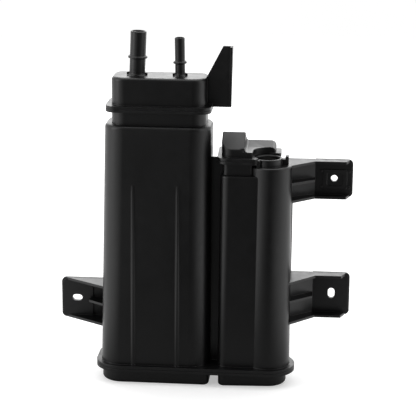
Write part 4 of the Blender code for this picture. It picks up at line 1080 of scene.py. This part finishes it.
def build_bottom_cover():
    top = WELD_Z - GAP / 2
    cover = slab("bottom_cover_fine", hull(flange_section(), FLANGE_STEPS), TRAY_DEPTH, top)
    into = TRAY_DEPTH + WELD_FLANGE / 2
    join(cover, tray("left_tray", left_tray(), into), tray("right_tray", right_tray(), into))
    bridge = 2 * WELD_OVERHANG
    join(cover, box("groove_bridge", GROOVE_LEFT - TRAY_ROUND, GROOVE_RIGHT + TRAY_ROUND, FRONT + bridge,
                    BACK - bridge, GROOVE_DEPTH, into))
    floor, high = COVER_WALL, top + OVERLAP
    split = TUBE_X - TUBE_RADIUS
    corner = PLENUM_CORNER
    vent_room = four_corners(GROOVE_RIGHT + COVER_WALL, split - COVER_WALL, FRONT + PLENUM_INSET,
                             BACK - PLENUM_INSET, corner, corner)
    back = BACK - PLENUM_INSET - corner
    tube_room = [(TUBE_X, TUBE_Y, TUBE_RADIUS - PLENUM_INSET),
                 (VENT_RIGHT - PLENUM_INSET - corner, back, corner),
                 (PARTITION_X + PLENUM_INSET, back, corner)]
    cut(cover, slab("left_plenum", hull(left_tray(-COVER_WALL)), floor, high),
        slab("vent_plenum", hull(vent_room), floor, high), slab("tube_plenum", hull(tube_room), floor, high))
    cut(cover, box("plenum_link", GROOVE_LEFT - 2 * COVER_WALL, GROOVE_RIGHT + 2 * COVER_WALL,
                   FRONT + bridge + COVER_WALL, BACK - bridge - COVER_WALL, GROOVE_DEPTH + COVER_WALL, high))
    for name, x, y, radius in spring_spots():
        inner = radius - SPRING_WIRE - GAP
        join(cover, turned(name + "_seat", x, y, [(inner, floor - OVERLAP), (inner, floor + SEAT_RISE / 2),
                                                  (inner - SEAT_RISE / 4, floor + SEAT_RISE)],
                           SEAT_STEPS))
    return cover


def finished(piece, node):
    """Apply the booleans, smooth the rounded faces and put the piece over its solid."""
    tools = [change.object for change in piece.modifiers]
    for tool in list(tools):
        tools += [change.object for change in tool.modifiers if change.type == "BOOLEAN"]
    bpy.context.view_layer.update()
    smooth = bmesh.new()
    smooth.from_object(piece, bpy.context.evaluated_depsgraph_get())
    bmesh.ops.dissolve_degenerate(smooth, dist=MERGE, edges=smooth.edges)
    piece.modifiers.clear()
    smooth.to_mesh(piece.data)
    smooth.free()
    for tool in tools:
        bpy.data.objects.remove(tool, do_unlink=True)
    piece.data.shade_smooth()
    piece.data.set_sharp_from_angle(angle=SHARP_ANGLE)
    weigh = piece.modifiers.new("even_normals", "WEIGHTED_NORMAL")
    weigh.keep_sharp = True
    dress(piece, FINISHES[SLOTS[node]])
    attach(piece, "root")
    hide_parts(node)


for build, node in ((build_housing, "housing"), (build_cap, "top_cap"),
                    (build_vent_cover, "vent_cover"), (build_bottom_cover, "bottom_cover")):
    finished(build(), node)


# Studio

LAMP_AIM = (0.0, 0.0, 0.17)

# Name, place, width, height and radiance of each lamp
SOFTBOXES = (("left_softbox", (-1.15, -0.50, 0.60), 0.60, 1.10, 2.1),
             ("right_softbox", (1.25, -0.40, 0.62), 0.60, 1.10, 1.0),
             ("back_softbox", (0.0, 1.60, 0.80), 1.80, 0.90, 2.0),
             ("top_softbox", (0.0, 0.30, 1.60), 1.40, 1.20, 1.6))


def lamp(name, at, width, height, radiance):
    """Soft rectangular lamp of a given radiance, pointed at the object."""
    light = bpy.data.lights.new(name, "AREA")
    light.shape = "RECTANGLE"
    light.size = width
    light.size_y = height
    light.energy = radiance * math.pi * width * height
    made = bpy.data.objects.new(name, light)
    bpy.context.scene.collection.objects.link(made)
    made.location = at
    made.rotation_euler = (Vector(LAMP_AIM) - Vector(at)).to_track_quat("-Z", "Y").to_euler()
    made.visible_camera = False


# Oval floor; its painted shade, a darker colour and no glow for all but camera rays, sets in over a stretch
# of Y and one of the way aside, and darkens further forward
FLOOR_CENTRE = (0.0, 0.85)
FLOOR_REACH = (1.60, 1.40)
FLOOR_STEPS = 96
FLOOR_CLOUD = 3.0
FLOOR_GLOW = 0.42
FLOOR_PALE = (0.79, 0.81)
PAINTED_SHADE_FROM_Y = (0.08, -0.03)
PAINTED_SHADE_FROM_X = (0.30, 0.14)
PAINTED_SHADE_FADE = (-0.06, -0.45)
PAINTED_SHADE_GREYS = (0.38, 0.03)


def floor_look():
    """Pale floor that the camera sees white, with a painted shade in front of the object for other rays."""
    made, graph, both = new_material("floor_look", "ShaderNodeAddShader", "Shader")
    x, y, _ = graph.split(graph.place())
    camera = graph.node("ShaderNodeLightPath").outputs["Is Camera Ray"]
    # Painted shade: for rays other than the camera's, the floor in front of the object turns darker and
    # loses its glow
    painted_shade = graph.math("MULTIPLY", graph.math("SUBTRACT", 1.0, camera), graph.ramp(y, *PAINTED_SHADE_FROM_Y))
    aside = graph.math("ABSOLUTE", graph.math("SUBTRACT", x, LOOK_AT.x))
    painted_shade = graph.math("MULTIPLY", painted_shade, graph.ramp(aside, *PAINTED_SHADE_FROM_X))
    # Grey of the painted shade, darker further forward
    painted_shade_grey = graph.ramp(y, *PAINTED_SHADE_FADE, *PAINTED_SHADE_GREYS)
    shade = graph.node("ShaderNodeCombineColor", {"Red": painted_shade_grey, "Green": painted_shade_grey, "Blue": painted_shade_grey})
    cloud = graph.noise(graph.place(), scale=FLOOR_CLOUD, detail=2.0)
    colour = graph.blend(painted_shade, graph.blend(cloud, *map(grey, FLOOR_PALE)), shade.outputs["Color"])
    lifted = graph.math("MULTIPLY", graph.seen(), graph.math("SUBTRACT", 1.0, painted_shade))
    glow = graph.node("ShaderNodeEmission", {"Strength": graph.math("MULTIPLY", lifted, FLOOR_GLOW)})
    diffuse = graph.node("ShaderNodeBsdfDiffuse", {"Color": colour})
    graph.feed(both, {0: diffuse.outputs["BSDF"], 1: glow.outputs["Emission"]})
    return made


def build_floor():
    rim = circle(0.0, 0.0, 1.0, FLOOR_STEPS)
    corners = [(FLOOR_CENTRE[0] + FLOOR_REACH[0] * across, FLOOR_CENTRE[1] + FLOOR_REACH[1] * along, 0.0)
               for across, along in rim]
    mesh = bpy.data.meshes.new("floor")
    mesh.from_pydata(corners, [], [list(range(FLOOR_STEPS))])
    mesh.materials.append(floor_look())
    floor = bpy.data.objects.new("floor", mesh)
    bpy.context.scene.collection.objects.link(floor)


# Brightness of the room by bearing: degrees from straight in front, right positive
ROOM_LIGHT = ((-180.0, 1.0), (-110.0, 1.1), (-62.0, 1.1), (-38.0, 0.75), (-12.0, 0.32), (-3.0, 0.08),
              (1.0, 0.0), (5.0, 0.0), (8.0, 0.10), (12.0, 0.28), (30.0, 0.15), (58.0, 0.4), (70.0, 0.55),
              (84.0, 1.1), (110.0, 1.1), (180.0, 1.0))
# Stretch of a direction's Y over which the room behind turns white for mirrored rays
BEHIND = (0.0, 0.2)


def build_world():
    """White room with a dim part in front of the object; the camera sees white all round."""
    world = bpy.data.worlds.new("studio")
    bpy.context.scene.world = world
    graph = blank_graph(world)
    x, y, _ = graph.split(graph.place("Generated"))
    bearing = graph.math("DEGREES", graph.math("ARCTAN2", x, graph.math("MULTIPLY", y, -1.0)))
    bands = graph.node("ShaderNodeValToRGB", {"Fac": graph.ramp(bearing, -180.0, 180.0)})
    stops = bands.color_ramp.elements
    while len(stops) < len(ROOM_LIGHT):
        stops.new(0.5)
    for stop, (angle, level) in zip(stops, ROOM_LIGHT):
        stop.position = (angle + 180.0) / 360.0
        stop.color = grey(level)
    strength = graph.math("MAXIMUM", bands.outputs["Color"], graph.seen(graph.ramp(y, *BEHIND)))
    background = graph.node("ShaderNodeBackground", {"Color": grey(1.0), "Strength": strength})
    graph.node("ShaderNodeOutputWorld", {"Surface": background.outputs["Background"]})


def build_camera():
    right = Vector((math.cos(YAW), math.sin(YAW), 0.0))
    forward = Vector((-math.sin(YAW) * math.cos(PITCH), math.cos(YAW) * math.cos(PITCH), -math.sin(PITCH)))
    up = right.cross(forward)
    turned_right = right * math.cos(ROLL) + up * math.sin(ROLL)
    turned_up = up * math.cos(ROLL) - right * math.sin(ROLL)
    axes = Matrix((turned_right, turned_up, -forward)).transposed().to_4x4()
    data = bpy.data.cameras.new("camera")
    data.lens = FOCAL_MM
    data.sensor_width = SENSOR_MM
    camera = bpy.data.objects.new("camera", data)
    bpy.context.scene.collection.objects.link(camera)
    camera.matrix_world = Matrix.Translation(LOOK_AT - forward * DISTANCE) @ axes
    bpy.context.scene.camera = camera


build_floor()
build_world()
for softbox in SOFTBOXES:
    lamp(*softbox)
build_camera()
bpy.context.scene.view_settings.view_transform = "Standard"
